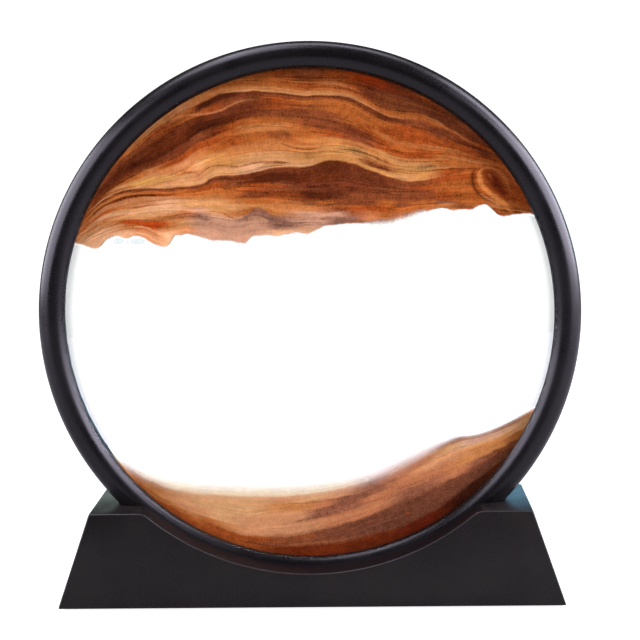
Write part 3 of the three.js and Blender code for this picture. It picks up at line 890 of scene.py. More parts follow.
     (-50, 38, T.PEACH), (-45, 38.2, T.PEACH), (-40, 38.3, T.AMBER), (-35, 38.2, T.AMBER),
     (-30, 38.3, T.AMBER), (-24, 38.4, T.ORANGE), (-18, 38.4, T.BROWN), (-10, 38.6, T.RUST),
     (0, 38, T.UMBER), (5, 37.8, T.UMBER), (10, 38, T.CHESTNUT), (15, 38, T.BROWN), (20, 37.8, T.BROWN),
     (25, 37.6, T.BROWN), (30, 37.4, T.BROWN), (37, 37.2, T.BROWN), (44, 37.2, T.RUST),
     (50, 37.4, T.ORANGE), (60, 37, T.RUST), (82, 32, T.RUST)],
    [(-82, 19.4, T.RUST), (-66, 33.4, T.ORANGE), (-60, 35.2, T.AMBER), (-55, 36, T.PEACH),
     (-50, 36.5, T.PEACH), (-45, 36.8, T.BUFF), (-40, 37, T.TAN), (-35, 37, T.TAN), (-30, 37, T.TAN),
     (-24, 36.9, T.AMBER), (-18, 36.6, T.ORANGE), (-10, 36.6, T.ORANGE), (0, 36, T.BROWN),
     (5, 35.6, T.ORANGE), (10, 36, T.BROWN), (15, 35.8, T.BROWN), (20, 35.6, T.BROWN),
     (25, 35.4, T.ORANGE), (30, 35.2, T.BROWN), (37, 35.4, T.ORANGE), (44, 35.9, T.BROWN),
     (50, 36, T.ORANGE), (60, 35.4, T.ORANGE), (82, 31, T.RUST)],
    [(-82, 19, T.AMBER), (-66, 32.2, T.BUFF), (-60, 33.8, T.TAN), (-55, 34.6, T.TAN),
     (-50, 35.2, T.BUFF), (-45, 35.6, T.BUFF), (-40, 35.8, T.TAN), (-35, 35.8, T.TAN),
     (-30, 35.6, T.GOLD), (-24, 35, T.TAN), (-18, 35, T.AMBER), (-10, 35, T.AMBER), (0, 34.2, T.AMBER),
     (5, 33.8, T.CLAY), (10, 34.2, T.BROWN), (15, 34.2, T.RUST), (20, 33.8, T.RUST), (25, 33.4, T.RUST),
     (30, 33.4, T.ORANGE), (37, 34, T.ORANGE), (44, 34.8, T.AMBER), (50, 34.6, T.BROWN),
     (60, 34.4, T.AMBER), (82, 30, T.RUST)],
    [(-82, 18.4, T.ORANGE), (-66, 31, T.AMBER), (-60, 32.3, T.TAN), (-55, 33, T.TAN),
     (-50, 33.6, T.TAN), (-45, 34, T.TAN), (-40, 34, T.PEACH), (-35, 34, T.MAUVE), (-30, 33.8, T.TAN),
     (-24, 32.4, T.AMBER), (-18, 33.9, T.ORANGE), (-10, 32.8, T.AMBER), (0, 32.2, T.MAUVE),
     (5, 32, T.MAUVE), (10, 32.2, T.MAUVE), (15, 32.4, T.BROWN), (20, 32, T.CLAY), (25, 31.6, T.ORANGE),
     (30, 32, T.CLAY), (37, 32.8, T.CLAY), (44, 33.8, T.AMBER), (50, 33.4, T.ORANGE), (60, 33, T.RUST),
     (82, 29, T.RUST)],
    [(-82, 17.6, T.TAN), (-66, 29.4, T.TAN), (-60, 30.9, T.AMBER), (-55, 31.2, T.TAN),
     (-50, 31.6, T.AMBER), (-45, 32.2, T.AMBER), (-40, 32.4, T.CLAY), (-35, 32.2, T.SLATE),
     (-30, 31.6, T.MAUVE), (-24, 30.8, T.MAUVE), (-18, 32.2, T.SLATE), (-10, 30.6, T.SLATE),
     (0, 30.4, T.MAUVE), (5, 30.4, T.MAUVE), (10, 30.6, T.SLATE), (15, 30.8, T.SLATE),
     (20, 30.2, T.CLAY), (25, 29.8, T.CLAY), (30, 30.6, T.CLAY), (37, 31.8, T.CLAY),
     (44, 33.2, T.PEACH), (52, 32.6, T.ORANGE), (60, 32.4, T.RUST), (82, 28, T.RUST)],
    [(-82, 16.4, T.TAN), (-66, 27.4, T.BUFF), (-60, 29.2, T.AMBER), (-55, 29.4, T.ORANGE),
     (-50, 29.6, T.RED), (-45, 29.4, T.AMBER), (-40, 29.8, T.TAN), (-35, 30, T.MAUVE),
     (-30, 29.4, T.MAUVE), (-24, 28.6, T.MAUVE), (-18, 29.8, T.MAUVE), (-10, 29, T.SLATE),
     (0, 28.8, T.MAUVE), (5, 28.8, T.MAUVE), (10, 29.4, T.SLATE), (20, 28.8, T.CLAY),
     (30, 29.2, T.CLAY), (40, 31, T.CLAY), (60, 31, T.RUST), (82, 27, T.RUST)],
    [(-82, 12, T.BUFF), (-77, 22, T.BUFF), (-70, 23, T.BUFF), (-66, 25, T.BUFF), (-60, 27, T.BUFF),
     (-55, 27, T.PEACH), (-50, 26, T.PEACH), (-45, 25, T.BUFF), (-40, 27, T.PEACH),
     (-35, 26.5, T.MAUVE), (-30, 26, T.MAUVE), (-24, 25, T.MAUVE), (-18, 26, T.MAUVE),
     (-10, 26.5, T.BUFF), (0, 26.8, T.BUFF), (10, 28, T.MAUVE), (20, 28, T.BUFF), (30, 28, T.BUFF),
     (60, 29, T.RUST), (82, 26, T.RUST)],
]

HANGING_STREAKS: list[Streak] = [
    ([(-36, 66.8), (-32, 68.2), (-28, 70), (-22, 71.2)], 3, T.DARK, 0.85),
    ([(-31, 69.4), (-27, 70.4), (-22, 71)], 0.8, T.DARK, 0.5),
    ([(-46, 62.6), (-40, 64.4), (-33, 65), (-28, 66), (-22, 68.4), (-15, 69.4)], 0.9, T.PEACH, 0.6),
    ([(-60, 50.4), (-54, 55), (-47, 60.2), (-40, 63.8)], 0.8, T.CHESTNUT, 0.7),
    ([(-62, 48.4), (-55, 53), (-48, 57.4), (-42, 60.8)], 0.7, T.RUST, 0.6),
    ([(-71, 33.8), (-66.5, 39.6), (-61, 44), (-55, 47.6), (-48, 50.8)], 3.4, T.UMBER, 0.7),
    ([(-22, 71), (-12, 71), (-2, 70), (8, 70), (15, 68.9), (20, 66.2), (28, 62.2), (34, 60.6)],
     0.7, T.UMBER, 0.75),
    ([(-12, 76.8), (-4, 76.4), (4, 76), (12, 75.6)], 0.8, T.UMBER, 0.6),
    ([(-28, 71.4), (-18, 72.1), (-10, 71.7), (-2, 70.8), (6, 70.7), (13, 69.9), (18, 67.8), (24, 65.2)],
     1.1, T.TAN, 0.8),
    ([(2, 74.2), (8, 73.9), (14, 72.6), (19, 70.6)], 0.7, T.PEACH, 0.55),
    ([(-60, 52.4), (-54, 57.6), (-47, 62.3), (-40, 66.1)], 1.3, T.AMBER, 0.7),
    ([(16, 67.8), (21, 65.1), (26, 62.5), (31, 61.2)], 0.9, T.UMBER, 0.65),
    ([(-6, 75), (2, 74.6), (9, 74.2), (15, 73)], 0.6, T.PEACH, 0.45),
    ([(-4, 73.2), (4, 73), (11, 72.6), (16, 71.6)], 0.6, T.BROWN, 0.6),
    ([(15, 75.6), (19, 74), (24, 72.2), (30, 70.6)], 0.7, T.UMBER, 0.5),
    ([(18, 74.8), (23, 73), (29, 71.4), (36, 69)], 0.8, T.RED, 0.6),
    ([(20, 71.6), (25, 69.4), (31, 67.8), (38, 66), (44, 63.4)], 0.7, T.ORANGE, 0.5),
    ([(22, 69.6), (27, 67.6), (34, 66.2), (40, 64.6)], 0.7, T.CHESTNUT, 0.6),
    ([(26, 71.6), (32, 69.8), (38, 67.6)], 0.7, T.CHESTNUT, 0.55),
    ([(20, 66.9), (25, 64.2), (30, 62.9), (36, 62.4)], 0.6, T.PEACH, 0.7),
    ([(37, 63.5), (41, 62), (46, 58.6), (51, 55.8), (55, 54)], 0.6, T.PEACH, 0.8),
    ([(33, 60.4), (38, 59), (42, 57.4)], 1, T.UMBER, 0.55),
    ([(42, 57.6), (47, 55.4), (52, 53.4), (58, 51)], 0.9, T.UMBER, 0.5),
    ([(36, 62), (40, 60.4), (45, 57.4)], 0.6, T.RUST, 0.6),
    ([(50, 59), (53, 56.6), (56, 54)], 0.8, T.CHESTNUT, 0.6),
    ([(55, 53.6), (56.5, 53.3)], 1.2, T.RED, 0.8),
    ([(54, 50.6), (58, 49.6), (61, 48.6)], 1, T.UMBER, 0.6),
    ([(-20, 67.6), (-10, 67.8), (0, 66.8), (8, 66.8)], 0.8, T.CHESTNUT, 0.55),
    ([(-14, 66.2), (-5, 66.4), (4, 65.6), (12, 64.8)], 0.6, T.ORANGE, 0.5),
    ([(-5, 64), (2, 63.2), (8, 62.6)], 0.8, T.CHESTNUT, 0.5),
    ([(2, 60.6), (9, 59.6), (15, 57.6), (21, 55.2)], 1.8, T.CHESTNUT, 0.6),
    ([(-39, 51.6), (-36, 54), (-32, 56), (-26, 57.2), (-20, 58)], 1, T.RUST, 0.8),
    ([(-24, 60.2), (-18, 60.9), (-10, 61.5), (-3, 60.8)], 1.8, T.AMBER, 0.7),
    ([(-13, 57.2), (-9, 57.8), (-4, 56.6)], 4.4, T.SEPIA, 0.5),
    ([(-9, 55.2), (-5, 53.9), (0, 53.2), (4, 53.9)], 0.9, T.CHESTNUT, 0.75),
    ([(-14.5, 48.6), (-10, 49), (-5.5, 48.9)], 0.8, T.UMBER, 0.75),
    ([(40, 50), (46, 49.6), (52, 48.8), (58, 47.8)], 2.2, T.AMBER, 0.5),
    ([(-4, 56.6), (1, 55.8), (6, 56.2), (12, 55.6)], 2.6, T.GOLD, 0.4),
    ([(20, 60.2), (25, 57), (30, 54.6), (38, 53.4), (46, 52.2), (53, 50.4)], 2.2, T.AMBER, 0.55),
    ([(25, 54.6), (31, 52.2), (38, 51.4), (45, 50.6)], 0.8, T.RUST, 0.5),
    ([(10, 53.4), (15, 52.6), (20, 51), (24, 49.4)], 0.7, T.CHESTNUT, 0.6),
    ([(14, 51.6), (19, 50.2), (23, 48.4)], 0.6, T.BROWN, 0.6),
    ([(15, 50), (20, 48.6), (24, 46.8), (28, 46)], 0.8, T.CHESTNUT, 0.65),
    ([(8, 51), (13, 51), (18, 49.6)], 0.6, T.PEACH, 0.6),
    ([(22, 52), (26, 49.8), (31, 48.4), (36, 48.2), (41, 48.4)], 1.2, T.TAN, 0.6),
    ([(34, 46.6), (38, 46.6), (42, 47.4)], 1.4, T.OLIVE, 0.6),
    ([(-36, 44.2), (-34, 46.2), (-31, 47.7), (-27, 48.1), (-22, 47.6), (-18, 48.6), (-12, 49.3),
     (-6, 49)], 0.8, T.BROWN, 0.75),
    ([(-41, 46.4), (-38, 46), (-35, 46)], 0.9, T.RUST, 0.6),
    ([(-37, 49.6), (-33, 50.4), (-27, 51.2)], 0.7, T.AMBER, 0.5),
    ([(-33, 52), (-26, 53), (-19, 54.6), (-13, 55.6)], 0.8, T.ORANGE, 0.5),
    ([(-49, 43), (-46, 43.2), (-44, 42.6)], 0.8, T.OLIVE, 0.6),
    ([(-58, 42.8), (-52, 43.6), (-46, 44.4), (-41, 44.6)], 3.2, T.STRAW, 0.5),
    ([(-71, 33.6), (-66, 37.9), (-61, 40.3), (-56, 41.6)], 0.8, T.TAN, 0.75),
    ([(-62, 39.2), (-57, 40.8), (-52, 41), (-46, 40.9), (-40, 41.3), (-35, 42), (-31, 43.2)],
     0.9, T.CHESTNUT, 0.8),
    ([(-34, 42), (-31, 43.4), (-27, 44), (-21, 43.8), (-15, 45), (-8, 46.8)], 0.9, T.UMBER, 0.7),
    ([(-10, 48.2), (-4, 48.4), (1, 48), (4, 49)], 0.7, T.BUFF, 0.6),
    ([(-18, 44), (-10, 45.2), (-3, 45)], 1.6, T.DARK, 0.5),
    ([(-22, 41.6), (-14, 42), (-6, 41.2)], 1.4, T.RUST, 0.6),
    ([(-27, 42.6), (-18, 42.8), (-10, 43.2)], 0.6, T.DARK, 0.6),
    ([(-30, 41.6), (-24, 40.4), (-16, 39.6), (-8, 39)], 0.8, T.CHESTNUT, 0.6),
    ([(-24, 38.2), (-17, 38.3), (-11, 38.6)], 1.2, T.CHESTNUT, 0.65),
    ([(-26, 41), (-19, 41.3), (-12, 40.9)], 0.6, T.UMBER, 0.5),
    ([(-19, 37.6), (-13, 38.4), (-6, 38.2), (0, 37.6)], 1, T.CHESTNUT, 0.7),
    ([(-16, 40), (-9, 40), (-2, 39.4)], 1, T.BROWN, 0.5),
    ([(0, 38.6), (4, 38), (8, 37.8)], 1.6, T.DARK, 0.55),
    ([(2, 47.4), (8, 47.6), (14, 46.8)], 1.4, T.UMBER, 0.5),
    ([(-74, 29.4), (-70, 34.4), (-66, 37.4), (-61, 39.6), (-55, 40.9)], 0.6, T.UMBER, 0.7),
    ([(-72, 33), (-67, 37.4), (-62, 39.4)], 0.5, T.TAN, 0.6),
    ([(-71, 31.6), (-66, 35.6), (-60, 38), (-55, 38.8), (-50, 38.9), (-46, 38.7)], 1, T.UMBER, 0.75),
    ([(-70, 32.2), (-64, 35.8), (-58, 37.2), (-50, 38)], 0.6, T.PEACH, 0.55),
    ([(-73, 28.6), (-66, 33.4), (-60, 34.9), (-54, 35.5), (-47, 35.8), (-40, 36)], 0.6, T.RUST, 0.75),
    ([(-62, 32.8), (-54, 33.9), (-46, 34.4), (-38, 34.6)], 1.7, T.BUFF, 0.6),
    ([(-72, 27.8), (-66, 31.6), (-60, 33.4), (-52, 34)], 0.6, T.BUFF, 0.5),
    ([(-75, 26.4), (-69, 30.4), (-64, 32), (-58, 33)], 0.6, T.ORANGE, 0.6),
    ([(-73, 25.8), (-68, 28.6), (-64, 30.4), (-59, 31.2), (-54, 30.9)], 0.8, T.RUST, 0.6),
    ([(-66, 28.6), (-60, 30.2), (-53, 30.3), (-46, 29.6), (-41, 30)], 2.4, T.RUST, 0.5),
    ([(-61, 30.6), (-55, 30.2), (-50, 29.6), (-45, 29.8)], 2.8, T.RED, 0.75),
    ([(-72, 24.6), (-68, 27), (-64, 29), (-59, 29.8)], 0.8, T.BUFF, 0.6),
    ([(-70, 24.2), (-66, 26.6), (-62, 27.8), (-57, 28.2), (-52, 27.6), (-48, 25.6), (-45, 24)],
     0.7, T.RUST, 0.5),
    ([(-75, 24.8), (-71, 27.2), (-67, 29.4)], 0.9, T.BUFF, 0.6),
    ([(-76, 23.4), (-72, 25.2), (-68, 26)], 1.2, T.BUFF, 0.6),
    ([(-57, 28.8), (-53, 28.6), (-49.5, 27)], 0.6, T.BUFF, 0.6),
    ([(-58, 27), (-54, 26.8), (-50, 24.9), (-46, 22.6)], 0.9, T.BUFF, 0.7),
    ([(-52, 32), (-47, 33.2), (-41, 34.2)], 1, T.BUFF, 0.5),
    ([(-46, 31.6), (-42, 32.8), (-37, 32.8), (-34, 31.6)], 0.7, T.CHESTNUT, 0.55),
    ([(-36, 31.8), (-33.5, 31), (-31.5, 30.6)], 1.6, T.SLATE, 0.75),
    ([(-32, 33.9), (-28, 33.2), (-25, 31.8), (-22.5, 30.6)], 0.8, T.CHESTNUT, 0.6),
    ([(-22.5, 30.6), (-20, 32.1), (-17.5, 33.6), (-15, 33.6), (-13, 31.8), (-9, 30.2), (-4, 29.4)],
     1.9, T.SLATE, 0.95),
    ([(-12, 29.6), (-8, 29.2), (-2, 29.6)], 2.2, T.SLATE, 0.6),
    ([(-20, 31.4), (-16, 31.4), (-13, 30)], 1.6, T.BUFF, 0.5),
    ([(-44, 27.6), (-40, 28.6), (-36, 27.4)], 1.8, T.AMBER, 0.5),
    ([(-34, 35.8), (-28, 35.6), (-22, 34)], 1.4, T.TAN, 0.6),
    ([(-20, 35.6), (-15, 34.8), (-10, 34)], 1.4, T.GOLD, 0.5),
    ([(-13, 36), (-7, 36.4), (-1, 35.4)], 1.2, T.AMBER, 0.6),
    ([(4, 30.8), (8, 31.4), (13, 31.2), (16, 32.6)], 2, T.SLATE, 0.55),
    ([(5, 28.8), (10, 29.4), (15, 29.6)], 1.2, T.SLATE, 0.5),
    ([(18, 30.6), (24, 30.4), (30, 31)], 1.6, T.PEACH, 0.6),
    ([(6, 34.8), (12, 35), (18, 34.6)], 1.2, T.ORANGE, 0.5),
    ([(40, 35.6), (44, 35.6), (49, 35)], 0.9, T.SLATE, 0.5),
    ([(38, 42.6), (43, 44), (48, 45.4), (54, 46.6)], 0.7, T.BROWN, 0.6),
    ([(40, 39.4), (46, 40.4), (52, 42)], 2.6, T.ORANGE, 0.5),
    ([(53.4, 46.4), (52.9, 43.6), (53.7, 40.6), (55.4, 38.2), (58, 36.6), (61, 35)],
     1.7, T.UMBER, 0.85),
    ([(56.6, 45.4), (59.2, 43), (61.6, 40.4), (64.4, 37.2)], 4.6, T.WINE, 0.85),
    ([(57.6, 44.8), (58.6, 43.4), (59.4, 42.2)], 1.2, T.ORANGE, 0.45),
    ([(57, 46.4), (55.2, 45.2), (55.2, 43), (56.6, 40.6), (59.2, 38.2), (62, 36), (64.6, 34),
     (66.2, 31.8)], 2.2, T.LOOP, 0.95),
    ([(56, 46.6), (59.4, 46.2), (62, 44.4), (64.4, 41.6), (66, 38.6)], 1.5, T.AMBER, 0.6),
    ([(55.2, 38.6), (58, 36.9), (61, 35.2), (63, 33.6)], 1, T.PEACH, 0.8),
    ([(62.6, 46.4), (65, 44), (67.4, 41)], 0.7, T.PEACH, 0.4),
    ([(66, 33.6), (69, 33), (72, 31.8)], 1.8, T.ORANGE, 0.5),
    ([(61, 33), (64, 32), (67, 31.4)], 1.4, T.AMBER, 0.5),
    ([(54, 36.4), (56, 35.2), (59, 34.6)], 1, T.RUST, 0.6),
]

# In the two top seams, the mauve from x 22 to 60 is painted shadow along the settled sand's top edge.
SETTLED_SEAMS: list[Seam] = [
    [(-82, -40, T.CREAM), (-64, -47, T.CREAM), (-55, -52.5, T.CREAM), (-40, -57, T.CREAM),
     (-20, -58.5, T.CREAM), (0, -58, T.CREAM), (10, -56, T.CREAM), (22, -52, T.MAUVE),
     (36, -45.5, T.MAUVE), (48, -40, T.COCOA), (58, -38, T.PEACH), (71, -32, T.BROWN),
     (82, -26, T.TAN)],
    [(-82, -41, T.AMBER), (-64, -48.2, T.AMBER), (-58, -52.4, T.AMBER), (-50, -56.6, T.AMBER),
     (-40, -59.4, T.TAN), (-30, -60.2, T.TAN), (-20, -60.6, T.TAN), (-10, -61, T.PEACH),
     (0, -60.2, T.TAN), (10, -58.4, T.PEACH), (20, -56.2, T.COCOA), (28, -53.2, T.CLAY),
     (36, -48.8, T.CLAY), (44, -44.8, T.TAN), (52, -42.6, T.MAUVE), (60, -40.6, T.MAUVE),
     (70, -35, T.TAN), (82, -28, T.TAN)],
    [(-82, -42, T.AMBER), (-62, -50.4, T.AMBER), (-56, -54.8, T.AMBER), (-50, -58.4, T.AMBER),
     (-44, -60.2, T.PEACH), (-36, -62, T.TAN), (-28, -63.6, T.TAN), (-20, -64.6, T.TAN),
     (-10, -63, T.AMBER), (-2, -63, T.AMBER), (4, -62.4, T.CLAY), (10, -61.4, T.COCOA),
     (16, -60, T.COCOA), (22, -57.8, T.COCOA), (30, -54.6, T.CLAY), (38, -50.4, T.PEACH),
     (46, -46.6, T.PEACH), (54, -44, T.AMBER), (62, -41.6, T.AMBER), (70, -36.6, T.TAN),
     (82, -30, T.TAN)],
    [(-82, -43, T.AMBER), (-60, -53, T.AMBER), (-54, -57.2, T.ORANGE), (-48, -60.8, T.AMBER),
     (-42, -63, T.PEACH), (-36, -65, T.PEACH), (-30, -66.6, T.TAN), (-20, -68, T.PEACH),
     (-10, -67, T.PEACH), (-4, -66.2, T.PEACH), (2, -65, T.COCOA), (8, -63.6, T.COCOA),
     (14, -62, T.COCOA), (20, -60.4, T.CLAY), (26, -58.6, T.CLAY), (34, -55.4, T.CLAY),
     (42, -52, T.CLAY), (50, -48.4, T.AMBER), (58, -45.2, T.AMBER), (66, -40.8, T.ORANGE),
     (82, -33, T.AMBER)],
    [(-82, -44, T.ORANGE), (-58, -54.6, T.ORANGE), (-52, -59.4, T.AMBER), (-46, -62.8, T.ORANGE),
     (-40, -65.2, T.AMBER), (-34, -67.4, T.ORANGE), (-28, -69.8, T.AMBER), (-20, -71.4, T.PEACH),
     (-10, -71.2, T.PEACH), (-2, -70.2, T.PEACH), (6, -68.2, T.CLAY), (14, -66, T.CLAY),
     (22, -62.6, T.CLAY), (30, -59.4, T.COCOA), (38, -56.2, T.COCOA), (46, -52.8, T.CLAY),
     (54, -49, T.COCOA), (62, -45, T.BROWN), (82, -36, T.BROWN)],
    [(-82, -45, T.RUST), (-56, -56, T.RUST), (-50, -60.8, T.RUST), (-44, -64.6, T.RUST),
     (-38, -67.4, T.ORANGE), (-32, -70, T.RUST), (-26, -72.6, T.RUST), (-18, -74.4, T.RUST),
     (-10, -74.8, T.BROWN), (-2, -74.2, T.BROWN), (6, -72.6, T.SEPIA), (14, -70.1, T.SEPIA),
     (22, -66.6, T.SEPIA), (30, -63.8, T.SEPIA), (38, -60.4, T.SEPIA), (46, -56, T.SEPIA),
     (54, -51, T.SEPIA), (62, -46.6, T.SEPIA), (82, -38, T.SEPIA)],
    [(-82, -46, T.BROWN), (-54, -57.8, T.BROWN), (-48, -62.6, T.RUST), (-42, -66.4, T.RUST),
     (-36, -69.6, T.RUST), (-30, -72.4, T.RUST), (-24, -74.4, T.RUST), (-16, -75.8, T.BROWN),
     (-8, -75.8, T.BROWN), (0, -75.2, T.BROWN), (8, -74.2, T.BROWN), (16, -72.4, T.SEPIA),
     (24, -70.2, T.SEPIA), (32, -67.6, T.SEPIA), (40, -63, T.SEPIA), (48, -57.4, T.SEPIA),
     (56, -51.8, T.SEPIA), (82, -40, T.SEPIA)],
    [(-82, -47, T.BROWN), (-40, -68, T.RUST), (-30, -73.6, T.RUST), (-20, -76.8, T.RUST),
     (-10, -77.8, T.EMBER), (0, -77.5, T.EMBER), (8, -76.8, T.EMBER), (16, -75.4, T.EMBER),
     (24, -73.4, T.EMBER), (32, -70.8, T.WINE), (40, -66.4, T.WINE), (48, -60.4, T.DARK),
     (54, -55.6, T.DARK), (62, -48.8, T.UMBER), (82, -42, T.UMBER)],
]

SETTLED_STREAKS: list[Streak] = [
    ([(-14, -63), (-9, -62.6), (-3, -63.2), (2, -63.6)], 3, T.AMBER, 0.6),
    ([(-7, -68.6), (-3, -67.4), (2, -66.6), (8, -65.8)], 0.9, T.COCOA, 0.8),
    ([(2, -64.2), (8, -62.8), (14, -61), (20, -59)], 2.4, T.SEPIA, 0.45),
    ([(-12, -66.4), (-7, -65.8), (-2, -65)], 1.4, T.PEACH, 0.5),
    ([(-8, -70.8), (2, -69), (12, -66.2), (22, -62.8), (30, -59.8)], 1.8, T.PEACH, 0.3),
    ([(-20, -74.2), (-12, -74.6), (-4, -74), (4, -72.6)], 0.9, T.RUST, 0.6),
    ([(-8, -76), (0, -75.6), (8, -74.6), (16, -72.8)], 0.7, T.COCOA, 0.6),
    ([(-14, -73), (-6, -73), (2, -71.8)], 0.7, T.CLAY, 0.5),
    ([(8, -71.6), (16, -69), (24, -65.8), (32, -62.2), (40, -58)], 0.8, T.UMBER, 0.35),
    ([(12, -72.8), (20, -70), (28, -67.2), (36, -63.4)], 0.7, T.COCOA, 0.5),
    ([(30, -66.2), (32, -65.9)], 1.2, T.RED, 0.45),
    ([(26, -56.6), (33, -53.8), (40, -50.6), (47, -47.6)], 1.6, T.CLAY, 0.5),
    ([(12, -59), (20, -57), (28, -54.4), (33, -52.6)], 1.4, T.COCOA, 0.45),
    ([(38, -46.2), (43, -43.6), (47, -42.2), (51, -41.4)], 1.4, T.COCOA, 0.6),
    ([(46, -45.4), (54, -43), (61, -40.6), (67, -37.6)], 2, T.TAN, 0.6),
    ([(55, -40.4), (61, -38.6), (67, -36), (71, -33.6)], 0.8, T.BROWN, 0.5),
    ([(46, -49), (54, -46.6), (62, -43.6), (68, -40)], 1.6, T.AMBER, 0.6),
    ([(48, -52.6), (56, -48.8), (64, -44.6)], 1.2, T.BROWN, 0.5),
    ([(48, -60), (52, -58), (57, -54.6)], 1.8, T.DARK, 0.6),
    ([(-58, -54), (-52, -58.8), (-46, -62.4), (-40, -65.4)], 1.6, T.ORANGE, 0.6),
    ([(-50, -61.8), (-43, -66.2), (-36, -69.8), (-28, -72.8), (-20, -75)], 2.4, T.RUST, 0.4),
    ([(-24, -74.6), (-14, -76.4), (-4, -76.8)], 1.2, T.EMBER, 0.5),
]


HANGING_EDGE: list[Point] = [
    (-82, 12), (-77, 23.4), (-74, 22.8), (-72, 22.3), (-70, 21.6), (-68.4, 21.6), (-66, 23.9),
    (-64, 25), (-61.5, 25.6), (-59, 24.6), (-57, 25.5), (-55, 25.6), (-53, 24.7), (-51, 23.4),
    (-49, 22.5), (-47, 22), (-45.6, 22.2), (-44.4, 23.9), (-43.2, 25.5), (-41.5, 25.7), (-37, 25.4),
    (-34, 24.4), (-31, 23.6), (-25, 23.1), (-22, 22.7), (-20.4, 22.7), (-18.6, 24.2), (-16, 24.9),
    (-10, 24.8), (-4, 25.5), (0, 25.4), (3, 26.7), (6, 28), (12, 28.7), (16, 28.7), (20, 28.2),
    (24, 27.6), (30, 29), (34, 30.2), (38, 31.7), (41, 32.8), (43.5, 33.4), (46, 32.8), (50, 32.7),
    (53, 33), (55.5, 34), (57.4, 34.3), (59, 33), (60.5, 31.6), (62, 30.8), (66, 30.9), (72, 31.1),
    (82, 24),
]

SETTLED_EDGE: list[Point] = [
    (-82, -36), (-64, -44.2), (-60, -46.1), (-55, -48.4), (-50, -49.4), (-44, -50.2), (-36, -51.3),
    (-28, -51.8), (-20, -52), (-10, -52.1), (0, -51.6), (10, -50.4), (20, -48.1), (26, -45.7),
    (32, -42.9), (38, -41.3), (44, -40.4), (48, -40), (52, -40), (56, -39.2), (60, -37.8), (66, -35),
    (71, -32.3), (82, -26),
]

HANGING_BEDS: list[Bed] = [
    ("sand_cap_layer", "orange_sand", 4), ("sand_dark_layer", "dark_sand", 8),
    ("sand_gold_layer", "gold_sand", 14), ("sand_umber_layer", "umber_sand", 17),
    ("sand_rust_layer", "rust_sand", 20), ("sand_fringe_layer", "mauve_sand", 24),
]

SETTLED_BEDS: list[Bed] = [
    ("dune_tan_layer", "tan_sand", 6), ("dune_brown_layer", "brown_sand", 8),
    ("dune_rust_layer", "rust_sand", 9),
]


def smooth_line(points: list, x: np.ndarray) -> np.ndarray:
    """Heights of a smooth line through points.

    Args:
        points: corners with x and z first, from left to right.
        x: where the heights are read.

    Returns:
        The heights.
    """
    px, pz = (np.array([point[k] for point in points], float) for k in (0, 1))
    slope = np.gradient(pz, px)
    i = np.clip(np.searchsorted(px, x) - 1, 0, len(px) - 2)
    wide = px[i + 1] - px[i]
    t = np.clip((x - px[i]) / wide, 0, 1)
    return ((2 * t ** 3 - 3 * t ** 2 + 1) * pz[i] + (t ** 3 - 2 * t ** 2 + t) * wide * slope[i]
            + (-2 * t ** 3 + 3 * t ** 2) * pz[i + 1] + (t ** 3 - t ** 2) * wide * slope[i + 1])


